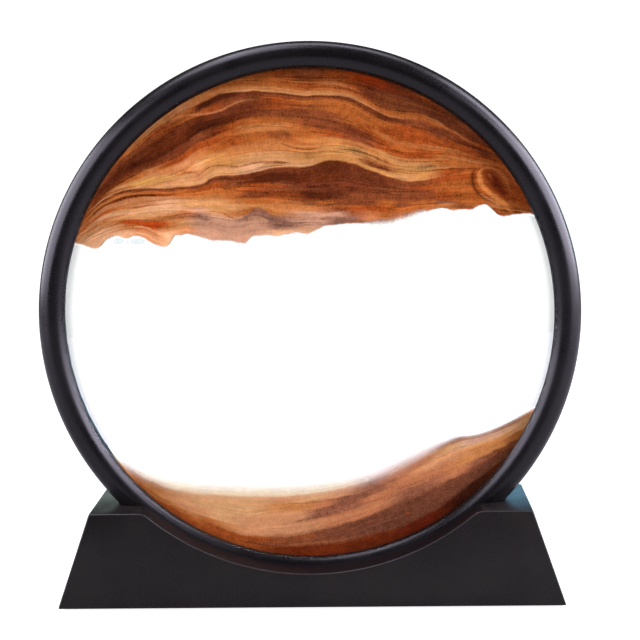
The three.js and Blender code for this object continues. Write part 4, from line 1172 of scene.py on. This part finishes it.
@dataclass
class Strata:
    """Beds of sand: seams of one tone each, from the top down, and streaks drawn along them.

    Attributes:
        seams: lines of x, z and tone from the picture's centre.
        streaks: path, width, tone and strength of each streak.
        cast: share of red, green and blue light that the grains give back in the liquid.
        darkening: how much darker the beds lie towards the middle and right.
        seed: which chance wandering the beds have.
        waves_along: strength, length, height and seed of the waves that bend the beds sideways.
        waves_up: the same of the waves that bend them up and down.
        fine: the same of the light and shade of the fine bedding.
        fine_start: how far along that wave the picture's centre lies.
        mottle: the same of the light and shade of clumps of grains.
        wet_span: where the beds begin to darken, and where they are darkest.
        change: parts of the way from one seam to the next between which the tone changes.
        thinnest: least height of a bed.
        stride: length of a step along a streak.
        blunt: share of its width that a streak keeps at its ends.
        core: share of its width that is of its full strength.
        onset: part of its length over which it comes in at either end.
    """

    seams: list[Seam]
    streaks: list[Streak]
    cast: tuple[float, float, float]
    wet: float
    seed: int
    waves_along: tuple[Wave, ...] = ((0.9, 9, 4, 0), (0.25, 1.6, 1.1, 9))
    waves_up: tuple[Wave, ...] = ((0.45, 11, 3, 20), (0.16, 2.2, 0.9, 31))
    fine: Wave = (0.22, 17, 1.6, 50)
    fine_start: float = 680.0
    mottle: Wave = (0.12, 1.5, 1.1, 70)
    wet_span: Point = (-52, -16)
    change: Point = (0.28, 0.72)
    thinnest: float = 0.05
    stride: float = 1.2
    blunt: float = 0.35
    core: float = 0.3
    onset: float = 0.18

    def heights(self, x: np.ndarray) -> np.ndarray:
        """Heights of all seams, each kept below the one above it.

        Args:
            x: where they are read.

        Returns:
            One row of heights for each seam.
        """
        rows = np.stack([smooth_line(seam, x) for seam in self.seams])
        for k in range(1, len(rows)):
            rows[k] = np.minimum(rows[k], rows[k - 1] - self.thinnest)
        return rows

    def blend(self, x: np.ndarray, z: np.ndarray) -> tuple[np.ndarray, np.ndarray]:
        """Colours between the seams.

        Args:
            x: places along.
            z: places up.

        Returns:
            Linear colours, and the depth below the first seam where the beds are of middling thickness.
        """
        rows = self.heights(x)
        middle = self.heights(np.linspace(-60, 60, 61))
        depths = np.concatenate([[0.0], np.cumsum((middle[:-1] - middle[1:]).mean(1))])
        tints = []
        for seam in self.seams:
            spots = [point[0] for point in seam]
            tones = np.array([point[2].light() for point in seam])
            tints.append(np.stack([np.interp(x, spots, tones[:, k]) for k in range(3)], -1))
        colour, bed = tints[0].copy(), np.zeros_like(x)
        for k in range(len(rows) - 1):
            t = np.clip((rows[k] - z) / (rows[k] - rows[k + 1]), 0, 1)
            share = smoothstep(*self.change, t)[:, None]
            below = z <= rows[k]
            colour[below] = (tints[k] * (1 - share) + tints[k + 1] * share)[below]
            bed[below] = depths[k] + t[below] * (depths[k + 1] - depths[k])
        return colour, bed

    def path(self, points: list[Point]) -> np.ndarray:
        """A smooth path through a streak's points, in steps of about a millimetre.

        Args:
            points: its points.

        Returns:
            Places along it.
        """
        spots = np.array(points, float)
        ends = np.vstack([2 * spots[0] - spots[1], spots, 2 * spots[-1] - spots[-2]])
        runs = []
        for a, b, c, d in zip(ends, ends[1:], ends[2:], ends[3:]):
            count = max(2, int(np.hypot(*(c - b)) / self.stride))
            t = np.linspace(0, 1, count, endpoint=False)[:, None]
            runs.append(0.5 * (2 * b + (c - a) * t + (2 * a - 5 * b + 4 * c - d) * t ** 2
                               + (3 * b - a - 3 * c + d) * t ** 3))
        return np.vstack(runs + [spots[-1:]])

    def draw(self, colour: np.ndarray, x: np.ndarray, z: np.ndarray, streak: Streak) -> None:
        """Draw one tapering streak over the beds.

        Args:
            colour: the colours that it is drawn into.
            x: their places along.
            z: their places up.
            streak: the streak.
        """
        points, width, tone, strength = streak
        path, half = self.path(points), width / 2
        low, high = path.min(0) - half, path.max(0) + half
        near = np.where((x > low[0]) & (x < high[0]) & (z > low[1]) & (z < high[1]))[0]
        if not len(near):
            return
        spots = np.stack([x[near], z[near]], -1)[:, None, :]
        start, step = path[None, :-1], np.diff(path, axis=0)[None]
        along = np.clip(((spots - start) * step).sum(-1) / (step ** 2).sum(-1), 0, 1)
        gaps = np.sqrt(((start + along[..., None] * step - spots) ** 2).sum(-1))
        nearest, row = gaps.argmin(1), np.arange(len(near))
        t = (nearest + along[row, nearest]) / (len(path) - 1)
        swell = np.sin(np.pi * np.clip(t, 0.02, 0.98)) ** 0.6
        reach = half * (self.blunt + (1 - self.blunt) * swell)
        share = strength * (1 - smoothstep(self.core, 1.0, gaps[row, nearest] / reach))
        share = (share * smoothstep(0, self.onset, np.minimum(t, 1 - t) + 0.05))[:, None]
        colour[near] = colour[near] * (1 - share) + tone.light() * share

    def swing(self, wave: Wave, x: np.ndarray, z: np.ndarray) -> np.ndarray:
        """Returns one wave at given places, as it swings about 0."""
        strength, length, height, step = wave
        return strength * Chance.ripple(x / length, z / height, self.seed + step)

    def paint(self, x: np.ndarray, z: np.ndarray) -> tuple[np.ndarray, np.ndarray]:
        """Colours of the sand, with all its streaks and fine bedding.

        Args:
            x: places along.
            z: places up.

        Returns:
            Linear colours, and the depth below the first seam where the beds are of middling thickness.
        """
        bent_x = x + sum(self.swing(wave, x, z) for wave in self.waves_along)
        bent_z = z + sum(self.swing(wave, x, z) for wave in self.waves_up)
        colour, bed = self.blend(bent_x, bent_z)
        for streak in self.streaks:
            self.draw(colour, bent_x, bent_z, streak)
        uneven = self.swing(self.fine, x + self.fine_start, bed) + self.swing(self.mottle, x, z)
        light = (1 - self.wet * smoothstep(*self.wet_span, x)) * np.exp(uneven)
        return colour * light[:, None] * np.array(self.cast), bed


@dataclass
class SandBody:
    """One body of sand in the cell, in separate beds, between two panes.

    Attributes:
        strata: its seams and streaks.
        edge: the line where it meets the liquid.
        hangs: whether it hangs from the top, or lies at the bottom.
        beds: the node that each bed stands for, its slot, and the seams where it ends.
        fade: width over which its edge thins out.
        widening: steps in that width, each with where it starts and ends.
        wander: how far the edge wanders about its line.
        ragged: how unevenly the edge thins out.
        grain: strength of the light and dark grains.
        bedding: strength of the fine bedding.
        radius: outside of the sand.
        half: half its thickness.
        step: width of a column of faces.
        tall: greatest height of a face.
        most: most faces up one bed between two seams.
    """

    strata: Strata
    edge: list[Point]
    hangs: bool
    beds: list[Bed]
    fade: float
    widening: tuple[Place, ...]
    wander: float
    ragged: float
    grain: float
    bedding: float
    radius: float = 79.8
    half: float = 2.4
    step: float = 0.36
    tall: float = 0.34
    most: int = 30

    def rim_line(self, x: np.ndarray) -> np.ndarray:
        """Returns the height of the body's edge at x, with its fine wandering."""
        seed, still = self.strata.seed, 0 * x
        fine = Chance.ripple(x / 2.6, still + 3.7, seed + 80)
        fine = fine + 0.6 * Chance.ripple(x / 0.9, still + 1.3, seed + 90)
        return smooth_line(self.edge, x) + self.wander * fine

    def wall(self, x: np.ndarray) -> np.ndarray:
        """Returns half the height of the round cell at x."""
        return np.sqrt(np.maximum(self.radius ** 2 - x ** 2, 0))

    def lines(self, x: np.ndarray) -> np.ndarray:
        """Heights of the body's bounds and seams, from the top down, inside the round cell.

        Args:
            x: columns.

        Returns:
            One row for each line.
        """
        edge, seams, wall = self.rim_line(x), self.strata.heights(x), self.wall(x)
        far = np.full_like(x, self.radius + 5)
        if self.hangs:
            rows = np.vstack([far, np.maximum(seams, edge), edge])
        else:
            rows = np.vstack([edge, np.minimum(seams, edge), -far])
        return np.clip(rows, -wall, wall)

    def cover(self, x: np.ndarray, z: np.ndarray) -> np.ndarray:
        """How closely the grains lie, from 0 at the edge to 1 inside.

        Args:
            x: places along.
            z: places up.

        Returns:
            The cover at those places.
        """
        away = z - self.rim_line(x)
        inside = away if self.hangs else -away
        width = self.fade + sum(extra * smoothstep(start, end, x) for extra, start, end in self.widening)
        return np.clip(inside / width, 0, 1)

    def build(self) -> list[Piece]:
        """Build the beds.

        Returns:
            The pieces.
        """
        count = 2 * round(self.radius / self.step)
        x = np.linspace(-self.radius, self.radius, count + 1)
        rows = self.lines(x)
        pieces, first = [], 0
        for name, slot, last in self.beds:
            steps = [rows[first]]
            for top, bottom in zip(rows[first:last], rows[first + 1:last + 1]):
                fine = int(np.clip(math.ceil(float((top - bottom).max()) / self.tall), 2, self.most))
                steps += [top + (bottom - top) * j / fine for j in range(1, fine + 1)]
            pieces.append(self.bed(name, slot, x, np.stack(steps)))
            first = last
        return pieces

    def bed(self, name: str, slot: str, x: np.ndarray, rows: np.ndarray) -> Piece:
        """Lay one bed as a fine sheet of faces and give it its thickness.

        Args:
            name: the node that it stands for.
            slot: not used.
            x: columns.
            rows: heights from its top to its bottom.

        Returns:
            The piece.
        """
        across, down = len(x) - 1, len(rows) - 1
        piece = Bench.sheet(name + "_grains", across, down)
        flat = np.empty(3 * len(piece.data.vertices))
        piece.data.vertices.foreach_get("co", flat)
        flat = flat.reshape(-1, 3)
        column = np.rint((flat[:, 0] + 1) / 2 * across).astype(int)
        row = np.rint((1 - flat[:, 1]) / 2 * down).astype(int)
        laid = np.stack([x[column], np.zeros(len(flat)), rows[row, column] + CENTRE], -1) * MM
        piece.data.vertices.foreach_set("co", laid.ravel())
        Bench.thicken(piece, 2 * self.half)
        self.colour(piece)
        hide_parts(name)
        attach(piece, "picture")
        return piece

    def colour(self, piece: Piece) -> None:
        """Write a bed's colours, bedding and cover to its mesh, and dress it.

        Args:
            piece: the bed.
        """
        mesh = piece.data
        places = np.empty(3 * len(mesh.vertices))
        mesh.vertices.foreach_get("co", places)
        places = places.reshape(-1, 3) / MM
        x, z = places[:, 0], places[:, 2] - CENTRE
        colour, bed = self.strata.paint(x, z)
        cover = self.cover(x, z)
        tint = mesh.color_attributes.new("strata", "FLOAT_COLOR", "POINT")
        tint.data.foreach_set("color", np.hstack([np.clip(colour, 0, 1), np.ones((len(x), 1))]).ravel())
        for key, values in (("bed", bed), ("cover", cover)):
            mesh.attributes.new(key, "FLOAT", "POINT").data.foreach_set("value", values)
        finish = Sand(piece.name, self.grain, self.bedding, self.ragged, float(cover.min()) < 1.0)
        mesh.materials.append(finish.make())


@dataclass
class Rim:
    """Black bead rim of the picture in a front and a rear half, clipped together inside.

    Attributes:
        radius: outside of the rim.
        flat: half width of the plain band round the outside.
        crest: radius of the bead's crest.
        height: how far the crest stands from the middle.
        apertures: radius of the opening in front and at the back.
        lip_top: where the lip's edge begins.
        lip_under: underside of the lip.
        lip_edge: rounding of the lip's edge.
        arris: bevel where the halves meet.
        bore: inside of the rim, round the panes.
        steps: facets round the turn.
        facets: facets over a quarter of the bead.
        plug: radius of the filling hole.
        plug_ends: where the filling hole begins and ends, from the picture's axis.
        tongue: the front half's clip, out from the bore and down from the middle.
        pocket: the rear half's clip, in the same way.
    """

    radius: float = 87.6
    flat: float = 4.6
    crest: float = 83.0
    height: float = 9.5
    apertures: tuple[float, float] = (78.8, 81.0)
    lip_top: float = 6.3
    lip_under: float = 5.7
    lip_edge: float = 0.1
    arris: float = 0.22
    bore: float = 84.4
    steps: int = 288
    facets: int = 14
    plug: float = 1.9
    plug_ends: Point = (80.0, 90.0)
    tongue: tuple[Point, ...] = ((0, -2.5), (1.4, -2.5), (1.4, -1.9), (1.65, -1.5), (1.4, -1.1), (1.4, 0))
    pocket: tuple[Point, ...] = ((0, 2.8), (1.7, 2.8), (1.7, 1.9), (1.95, 1.5), (1.7, 1.1), (1.7, 0))

    def profile(self, side: Side) -> list[Point]:
        """The bead's section.

        Args:
            side: which half.

        Returns:
            Its corners as radius and depth from the middle.
        """
        aperture = self.apertures[side is Side.REAR]
        inner = [(self.crest - (self.crest - aperture) * math.sin(t),
                  self.lip_top + (self.height - self.lip_top) * math.cos(t)) for t in self.turns()[1:]]
        shell = [(self.radius - self.arris, 0.0), (self.radius, self.arris)] + self.arch(0.0) + inner
        shell += [(aperture + self.lip_edge, self.lip_under), (self.bore, self.lip_under)]
        clip = self.tongue if side is Side.FRONT else self.pocket
        shell += [(self.bore + step, depth) for step, depth in clip]
        return [(radius, side.value * depth) for radius, depth in shell]

    def turns(self) -> list[float]:
        """Returns the angles of a quarter turn."""
        return [math.pi / 2 * k / self.facets for k in range(self.facets + 1)]

    def arch(self, grow: float) -> list[Point]:
        """Returns the bead's outside from its plain band to its crest, larger by a given growth."""
        wide, high = self.radius - self.crest + grow, self.height - self.flat + grow
        return [(self.crest + wide * math.cos(t), self.flat + high * math.sin(t)) for t in self.turns()]

    def build(self) -> list[Piece]:
        """Build both halves.

        Returns:
            The pieces.
        """
        pieces = []
        for side in Side:
            node = side.label() + "_rim"
            piece = Bench.turned(node + "_bead", self.profile(side), self.steps, CENTRE)
            Bench.carve(piece, Bench.peg("hole", self.plug, self.plug_ends, 40, (0, 0, CENTRE)))
            Bench.smooth(piece, 40)
            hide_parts(node)
            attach(piece, "picture")
            pieces.append(piece)
        return pieces

    def dress(self, pieces: list[Piece]) -> None:
        """Give both halves their satin black.

        Args:
            pieces: the halves.
        """
        satin = MouldedPlastic("rim_satin_black", "050404", "080707", 0.31, 0.34, 0.03, "f6f2fb", 0.04)
        material = satin.make()
        for piece in pieces:
            piece.data.materials.append(material)


@dataclass
class Base:
    """Moulded base with a dip and a groove that hold the rim.

    Attributes:
        rim: the rim that stands in it.
        bottom: half width at the bottom.
        top: half width at the top.
        depth: front to back.
        height: floor to top.
        gap: floor to the lower edge.
        wall: thickness of the shell.
        edge: rounding of its edges.
        land: radius of the dip.
        shoulder: radius where the dip meets the top.
        steps: facets round the groove.
        shoulder_steps: facets round a shoulder.
        dip_steps: facets along the dip.
        groove_gap: room between the rim and its groove.
        groove_wall: how far the groove's wall reaches from the rim.
        plate_top: floor to the top of the plate that closes it from below.
        rebate: half width of the plate's rebate.
        rebate_depth: the rebate from front to back.
        bosses: places of a screw boss to either side and to front and back.
        boss: radius of a screw boss.
        boss_ends: floor to the lower and upper end of a screw boss.
        tool_reach: how far a cutting tool stands out.
        leans: least and most lean to the front or rear of a rounded edge's faces.
        dip_reach: how near to the dip's radius the middle of one of its faces lies.
    """

    rim: Rim
    bottom: float = 81.0
    top: float = 70.5
    depth: float = 46.0
    height: float = 31.4
    gap: float = 0.7
    wall: float = 2.5
    edge: float = 0.5
    land: float = 81.0
    shoulder: float = 6.0
    steps: int = 288
    shoulder_steps: int = 12
    dip_steps: int = 97
    groove_gap: float = 0.3
    groove_wall: float = 2.3
    plate_top: float = 2.7
    rebate: float = 79.8
    rebate_depth: float = 43.6
    bosses: Point = (52.0, 14.0)
    boss: float = 3.0
    boss_ends: Point = (0.0, 40.0)
    tool_reach: float = 30.0
    leans: Point = (0.05, 0.97)
    dip_reach: float = 1.0

    def outline(self) -> list[Point]:
        """Returns the front outline, from the lower left corner round."""
        drop = CENTRE - (self.height - self.shoulder)
        middle = math.sqrt((self.land + self.shoulder) ** 2 - drop ** 2)
        meet = math.atan2(-drop, middle)
        right = []
        for k in range(self.shoulder_steps + 1):
            turn = math.pi / 2 + (math.pi / 2 + meet) * k / self.shoulder_steps
            right.append((middle + self.shoulder * math.cos(turn),
                          self.height - self.shoulder + self.shoulder * math.sin(turn)))
        dip = []
        for k in range(1, self.dip_steps):
            turn = meet + (-math.pi - 2 * meet) * k / self.dip_steps
            dip.append((self.land * math.cos(turn), CENTRE + self.land * math.sin(turn)))
        left = [(-x, z) for x, z in reversed(right)]
        corners = [(-self.bottom, self.gap), (self.bottom, self.gap), (self.top, self.height)]
        return corners + right + dip + left + [(-self.top, self.height)]

    def groove_tool(self, grow: float) -> Piece:
        """The rim's outside, grown, as the tool that cuts its groove.

        Args:
            grow: how much it is grown.

        Returns:
            The tool.
        """
        arch, end = self.rim.arch(grow), self.rim.height + grow
        mirrored = [(radius, -depth) for radius, depth in reversed(arch)]
        profile = [(0, -end)] + mirrored + arch + [(0, end)]
        return Bench.turned("groove_tool", profile, self.steps, CENTRE)

    def hollow(self) -> Piece:
        """Returns the space inside the shell, clear of the groove, its landings and the screw bosses."""
        low, high, ceiling = self.bottom - self.wall, self.top - self.wall, self.height - self.wall
        outline = [(-low, self.plate_top), (low, self.plate_top), (high, ceiling), (-high, ceiling)]
        space = Bench.slab("hollow", outline, self.depth - 2 * self.wall)
        reach, end = self.land + self.wall, self.tool_reach
        profile = [(0, -end), (reach, -end), (reach, end), (0, end)]
        Bench.carve(space, Bench.turned("landing", profile, self.steps, CENTRE))
        Bench.carve(space, self.groove_tool(self.groove_wall))
        for x in (-self.bosses[0], self.bosses[0]):
            for y in (-self.bosses[1], self.bosses[1]):
                Bench.carve(space, Bench.peg("boss", self.boss, self.boss_ends, 32, (x, y, 0)))
        return space

    def build(self) -> Piece:
        """Build the shell.

        Returns:
            The piece.
        """
        piece = Bench.slab("base_moulding", self.outline(), self.depth)
        flat_y, corner_x = self.depth / 2 * MM - 1e-6, (self.top - 0.01) * MM

        def outer_edge(a: Vector, b: Vector) -> bool:
            """Returns whether an edge runs round the front or rear, or along an outer corner."""
            if a.y * b.y > 0:
                return min(abs(a.y), abs(b.y)) > flat_y
            return abs(a.x) > corner_x

        Bench.round_edges(piece, outer_edge, self.edge, 4)
        Bench.carve(piece, self.groove_tool(self.groove_gap))
        Bench.carve(piece, self.hollow())
        wide, low, high = self.rebate, -1.0, self.plate_top
        rebate = [(-wide, low), (wide, low), (wide, high), (-wide, high)]
        Bench.carve(piece, Bench.slab("rebate", rebate, self.rebate_depth))
        Bench.smooth(piece, 35)
        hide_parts("base_shell")
        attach(piece, "base")
        return piece

    def mark(self, piece: Piece) -> None:
        """Write to the shell's faces which of them are rounded edges that get a painted highlight, and
        which take the dip's finish.

        Args:
            piece: the shell.
        """
        mesh = piece.data
        least, most = self.leans
        highlit = []
        for face in mesh.polygons:
            lean, centre = abs(face.normal.y), face.center / MM
            away = math.hypot(centre.x, centre.z - CENTRE)
            # Faces of the rounded front and rear edges take the painted highlight.
            highlit.append(float(least < lean < most and abs(centre.y) > self.depth / 2 - self.edge))
            face.material_index = int(lean <= least and abs(away - self.land) < self.dip_reach)
        mesh.attributes.new("edge_highlight_mask", "FLOAT", "FACE").data.foreach_set("value", highlit)

    def dress(self, piece: Piece) -> None:
        """Give the shell its satin black with a painted highlight on its rounded edges, its dip a dull one,
        and its fittings theirs.

        Args:
            piece: the shell.
        """
        # The satin black paints a highlight on the shell's rounded edges.
        satin = MouldedPlastic("base_satin_black", "120f0f", "171413", 0.28, 0.2, 0.02, worn=True)
        dull = MouldedPlastic("dip_dull_black", "0c0b0d", "100e10", 0.38, 0.03, 0.02)
        for finish in (satin, dull):
            piece.data.materials.append(finish.make())
        self.mark(piece)
        dress_node("base_plate", MouldedPlastic("plate_black", "171617", "201e20", 0.6, 0.4, 0.01).make())
        steel, rubber = Steel("screw_steel").make(), Rubber("foot_rubber", "1a1a1b").make()
        for place in ("front_left", "front_right", "rear_left", "rear_right"):
            dress_node("plate_screw_" + place, steel)
            dress_node("foot_" + place, rubber)


@dataclass
class Cell:
    """Two panes with their packing, the liquid between them and its bubbles.

    Attributes:
        radius: outside of a pane.
        near: inner face of a pane, from the middle.
        far: outer face of a pane.
        arris: bevel of its edge.
        steps: facets round the turn.
        liquid_faces: faces of the liquid across and up.
        liquid_depth: the liquid from front to back.
        liquid_gap: room between the liquid and the sand.
        air: place along the sand's edge and half width of each bubble.
        air_height: greatest half height of a bubble.
        air_depth: half of a bubble from front to back.
        air_gap: room between a bubble and the sand.
        air_top: how flat a bubble is on top.
    """

    radius: float = 84.1
    near: float = 2.5
    far: float = 5.0
    arris: float = 0.3
    steps: int = 192
    liquid_faces: tuple[int, int] = (264, 24)
    liquid_depth: float = 4.6
    liquid_gap: float = 0.3
    air: tuple[Point, ...] = ((-61.7, 1.6), (-58.9, 0.6), (-55.6, 2.4))
    air_height: float = 1.1
    air_depth: float = 1.9
    air_gap: float = 0.45
    air_top: float = 0.75

    def panes(self) -> list[Piece]:
        """Build both panes.

        Returns:
            The pieces.
        """
        pieces = []
        edge = self.radius - self.arris
        section = [(0, self.near), (edge, self.near), (self.radius, self.near + self.arris),
                   (self.radius, self.far - self.arris), (edge, self.far), (0, self.far)]
        for side in Side:
            node = side.label() + "_glass"
            profile = [(radius, side.value * depth) for radius, depth in section]
            piece = Bench.turned(node + "_pane", profile, self.steps, CENTRE)
            Bench.smooth(piece, 30)
            piece.data.materials.append(ClearGlass(node + "_clear", 0.02).make())
            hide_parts(node)
            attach(piece, "picture")
            pieces.append(piece)
        return pieces

    def liquid(self, hanging: SandBody, settled: SandBody) -> Piece:
        """Build the liquid between the two bodies of sand.

        Args:
            hanging: the sand above it.
            settled: the sand below it.

        Returns:
            The piece.
        """
        across, up = self.liquid_faces
        x = np.linspace(-hanging.radius, hanging.radius, across + 1)
        wall = hanging.wall(x)
        top = np.clip(hanging.rim_line(x) - self.liquid_gap, -wall, wall)
        bottom = np.clip(settled.rim_line(x) + self.liquid_gap, -wall, wall)
        piece = Bench.sheet("clear_liquid_fill", across, up)
        for vertex in piece.data.vertices:
            column, share = round((vertex.co.x + 1) / 2 * across), (vertex.co.y + 1) / 2
            z = CENTRE + bottom[column] + (top[column] - bottom[column]) * share
            vertex.co = Vector((x[column], 0, z)) * MM
        Bench.thicken(piece, self.liquid_depth)
        # The liquid's dark tint thickens towards the rim as painted shade.
        piece.data.materials.append(ClearGlass("clear_liquid", 0.01, ("3c5a5c", "47666a"), 0.24).make())
        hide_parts("clear_liquid")
        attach(piece, "picture")
        return piece

    def bubbles(self, hanging: SandBody) -> Piece:
        """Build the flat air bubbles under the hanging sand.

        Args:
            hanging: the sand above them.

        Returns:
            The piece.
        """
        parts = []
        for x, radius in self.air:
            Bench.clear()
            bpy.ops.mesh.primitive_uv_sphere_add(segments=32, ring_count=20, radius=1.0, location=(0, 0, 0))
            part = bpy.context.object
            tall = min(radius, self.air_height)
            z = CENTRE + float(hanging.rim_line(np.array([x]))[0]) - self.air_gap - self.air_top * tall
            for vertex in part.data.vertices:
                along, depth, up = vertex.co
                rise = tall * up * (1.0 if up < 0 else self.air_top)
                vertex.co = Vector((x + radius * along, self.air_depth * depth, z + rise)) * MM
            parts.append(part)
        Bench.take(parts[0])
        for part in parts[1:]:
            part.select_set(True)
        bpy.ops.object.join()
        piece = Bench.named("air_bubble_row")
        Bench.smooth(piece, 60)
        piece.data.materials.append(ClearGlass("trapped_air", 0.14, ("7ee6ea", "92f0f2")).make())
        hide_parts("air_bubbles")
        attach(piece, "picture")
        return piece

    def dress(self) -> None:
        """Give the packing its finishes."""
        for side in Side:
            for node, finish, tone in (("_gasket", "_rubber", "161617"), ("_seal", "_silicone", "c9cdcc")):
                name = side.label() + node
                dress_node(name, Rubber(name + finish, tone).make())
        dress_node("spacer_ring", MouldedPlastic("spacer_black", "151415", "1e1c1e", 0.5, 0.4, 0.0).make())
        dress_node("fill_plug", Rubber("plug_rubber", "1b1a1b").make())


@dataclass(frozen=True)
class Lamp:
    """A soft light that faces the picture.

    Attributes:
        name: its name.
        place: where it hangs, in metres.
        size: its width and height.
        power: its power in watts.
        tone: its colour.
    """

    name: str
    place: Place
    size: Point
    power: float
    tone: str = "f4f0ff"

    def hang(self) -> None:
        """Hang the light, unseen itself."""
        data = bpy.data.lights.new(self.name, "AREA")
        data.shape = "RECTANGLE"
        data.energy, data.color = self.power, rgba(self.tone)[:3]
        data.size, data.size_y = self.size
        lamp = bpy.data.objects.new(self.name, data)
        lamp.location = self.place
        lamp.visible_camera = False
        aim = Vector((0, 0, 0.09)) - Vector(self.place)
        lamp.rotation_euler = aim.to_track_quat("-Z", "Y").to_euler()
        bpy.context.scene.collection.objects.link(lamp)


LAMPS: list[Lamp] = [
    Lamp("left_light", (-0.85, -0.15, 0.38), (1.5, 0.6), 21.5),
    Lamp("right_light", (0.85, -0.15, 0.42), (1.5, 0.6), 36),
    Lamp("left_back_light", (-0.45, 1.1, 0.22), (0.8, 0.35), 0.5, "cfeae2"),
    Lamp("right_back_light", (0.45, 1.1, 0.22), (0.8, 0.35), 1.25, "7fc0e2"),
    Lamp("high_right_light", (0.68, 0.0, 0.85), (0.5, 0.35), 6),
    Lamp("top_light", (0.0, 0.2, 1.2), (0.9, 0.4), 6),
    Lamp("high_left_light", (-0.32, -0.14, 1.0), (0.6, 0.4), 5.2),
]


@dataclass
class Studio:
    """Floor, light and camera.

    Attributes:
        eye: place of the camera in millimetres.
        yaw: turn to the left in degrees.
        pitch: tilt up in degrees.
        roll: tilt to the side in degrees.
        sensor: width of the camera's sensor in millimetres.
        lens: focal length in millimetres.
        glow: light of the white round the scene.
        white: how bright that white is to the camera.
        floor_white: how bright the floor is to the camera.
    """

    eye: Place = (16.8, -614.0, 151.1)
    yaw: float = 1.255
    pitch: float = -5.65
    roll: float = 0.74
    sensor: float = 36.0
    lens: float = 1896 / 640 * 36
    glow: float = 0.07
    white: float = 1.2
    floor_white: float = 0.9

    def camera(self) -> None:
        """Set up the camera at the picture's own view."""
        data = bpy.data.cameras.new("camera")
        data.lens, data.sensor_width, data.sensor_fit = self.lens, self.sensor, "HORIZONTAL"
        data.clip_start, data.clip_end = 0.01, 50.0
        camera = bpy.data.objects.new("camera", data)
        bpy.context.scene.collection.objects.link(camera)
        yaw, pitch, roll = (math.radians(angle) for angle in (self.yaw, self.pitch, self.roll))
        turn = Matrix.Rotation(yaw, 3, "Z") @ Matrix.Rotation(pitch, 3, "X") @ Matrix.Rotation(roll, 3, "Y")
        right, forward, up = turn.col
        axes = Matrix((right, up, -forward)).transposed()
        camera.matrix_world = Matrix.Translation(Vector(self.eye) * MM) @ axes.to_4x4()
        bpy.context.scene.camera = camera

    def floor(self) -> None:
        """Lay a plain pale floor."""
        Bench.clear()
        bpy.ops.mesh.primitive_plane_add(size=1.6, location=(0, 0, 0))
        floor = bpy.context.object
        floor.name = "floor"
        recipe = Recipe("pale_floor")
        tone = recipe.mix(recipe.noise(3, 2), rgba("8e8e8e"), rgba("949494"))
        seen = recipe.node("LightPath", {}).outputs["Is Camera Ray"]
        recipe.set(Base_Color=tone, Roughness=0.9, Emission_Color=(1, 1, 1, 1),
                   Emission_Strength=recipe.maths("MULTIPLY", seen, self.floor_white))
        floor.data.materials.append(recipe.material)

    def world(self) -> None:
        """Surround the scene with white that lights it only softly."""
        world = bpy.data.worlds.new("white_studio")
        world.use_nodes = True
        nodes, links = world.node_tree.nodes, world.node_tree.links
        background = nodes["Background"]
        seen = nodes.new("ShaderNodeLightPath").outputs["Is Camera Ray"]
        strength = nodes.new("ShaderNodeMapRange")
        strength.inputs["To Min"].default_value = self.glow
        strength.inputs["To Max"].default_value = self.white
        links.new(seen, strength.inputs["Value"])
        links.new(strength.outputs[0], background.inputs["Strength"])
        background.inputs["Color"].default_value = (1, 1, 1, 1)
        bpy.context.scene.world = world

    def build(self) -> None:
        """Set up the studio."""
        bpy.context.scene.view_settings.view_transform = "Standard"
        self.world()
        self.floor()
        self.camera()
        for lamp in LAMPS:
            lamp.hang()


def sand_bodies() -> tuple[SandBody, SandBody]:
    """The two bodies of sand.

    Returns:
        The sand that hangs, and the sand that has settled.
    """
    hanging = SandBody(
        Strata(HANGING_SEAMS, HANGING_STREAKS, cast=(0.98, 0.9, 0.74), wet=0.13, seed=3),
        HANGING_EDGE, True, HANGING_BEDS, fade=1.0,
        widening=((0.6, -38, -34), (-0.6, 2, 8), (3.0, 16, 24), (-3.0, 34, 42)),
        wander=0.35, ragged=0.07, grain=0.28, bedding=0.12)
    settled = SandBody(
        Strata(SETTLED_SEAMS, SETTLED_STREAKS, cast=(0.97, 1.01, 0.96), wet=0.0, seed=5),
        SETTLED_EDGE, False, SETTLED_BEDS, fade=9.6,
        widening=((3.0, -58, -44), (-10.4, 30, 52)),
        wander=0.0, ragged=0.0, grain=0.24, bedding=0.06)
    return hanging, settled


def main() -> None:
    """Build the object piece by piece, and the studio round it."""
    logging.basicConfig(level=logging.INFO, format="%(name)s: %(message)s")
    Studio().build()
    rim = Rim()
    base = Base(rim)
    shell = base.build()
    base.dress(shell)
    halves = rim.build()
    rim.dress(halves)
    hanging, settled = sand_bodies()
    cell = Cell()
    cell.dress()
    pieces = [shell, *halves, *cell.panes(), *hanging.build(), *settled.build(),
              cell.liquid(hanging, settled), cell.bubbles(hanging)]
    for piece in pieces:
        log.info("%s: %d faces", piece.name, len(piece.data.polygons))
    Bench.clear()


if __name__ == "__main__":
    main()
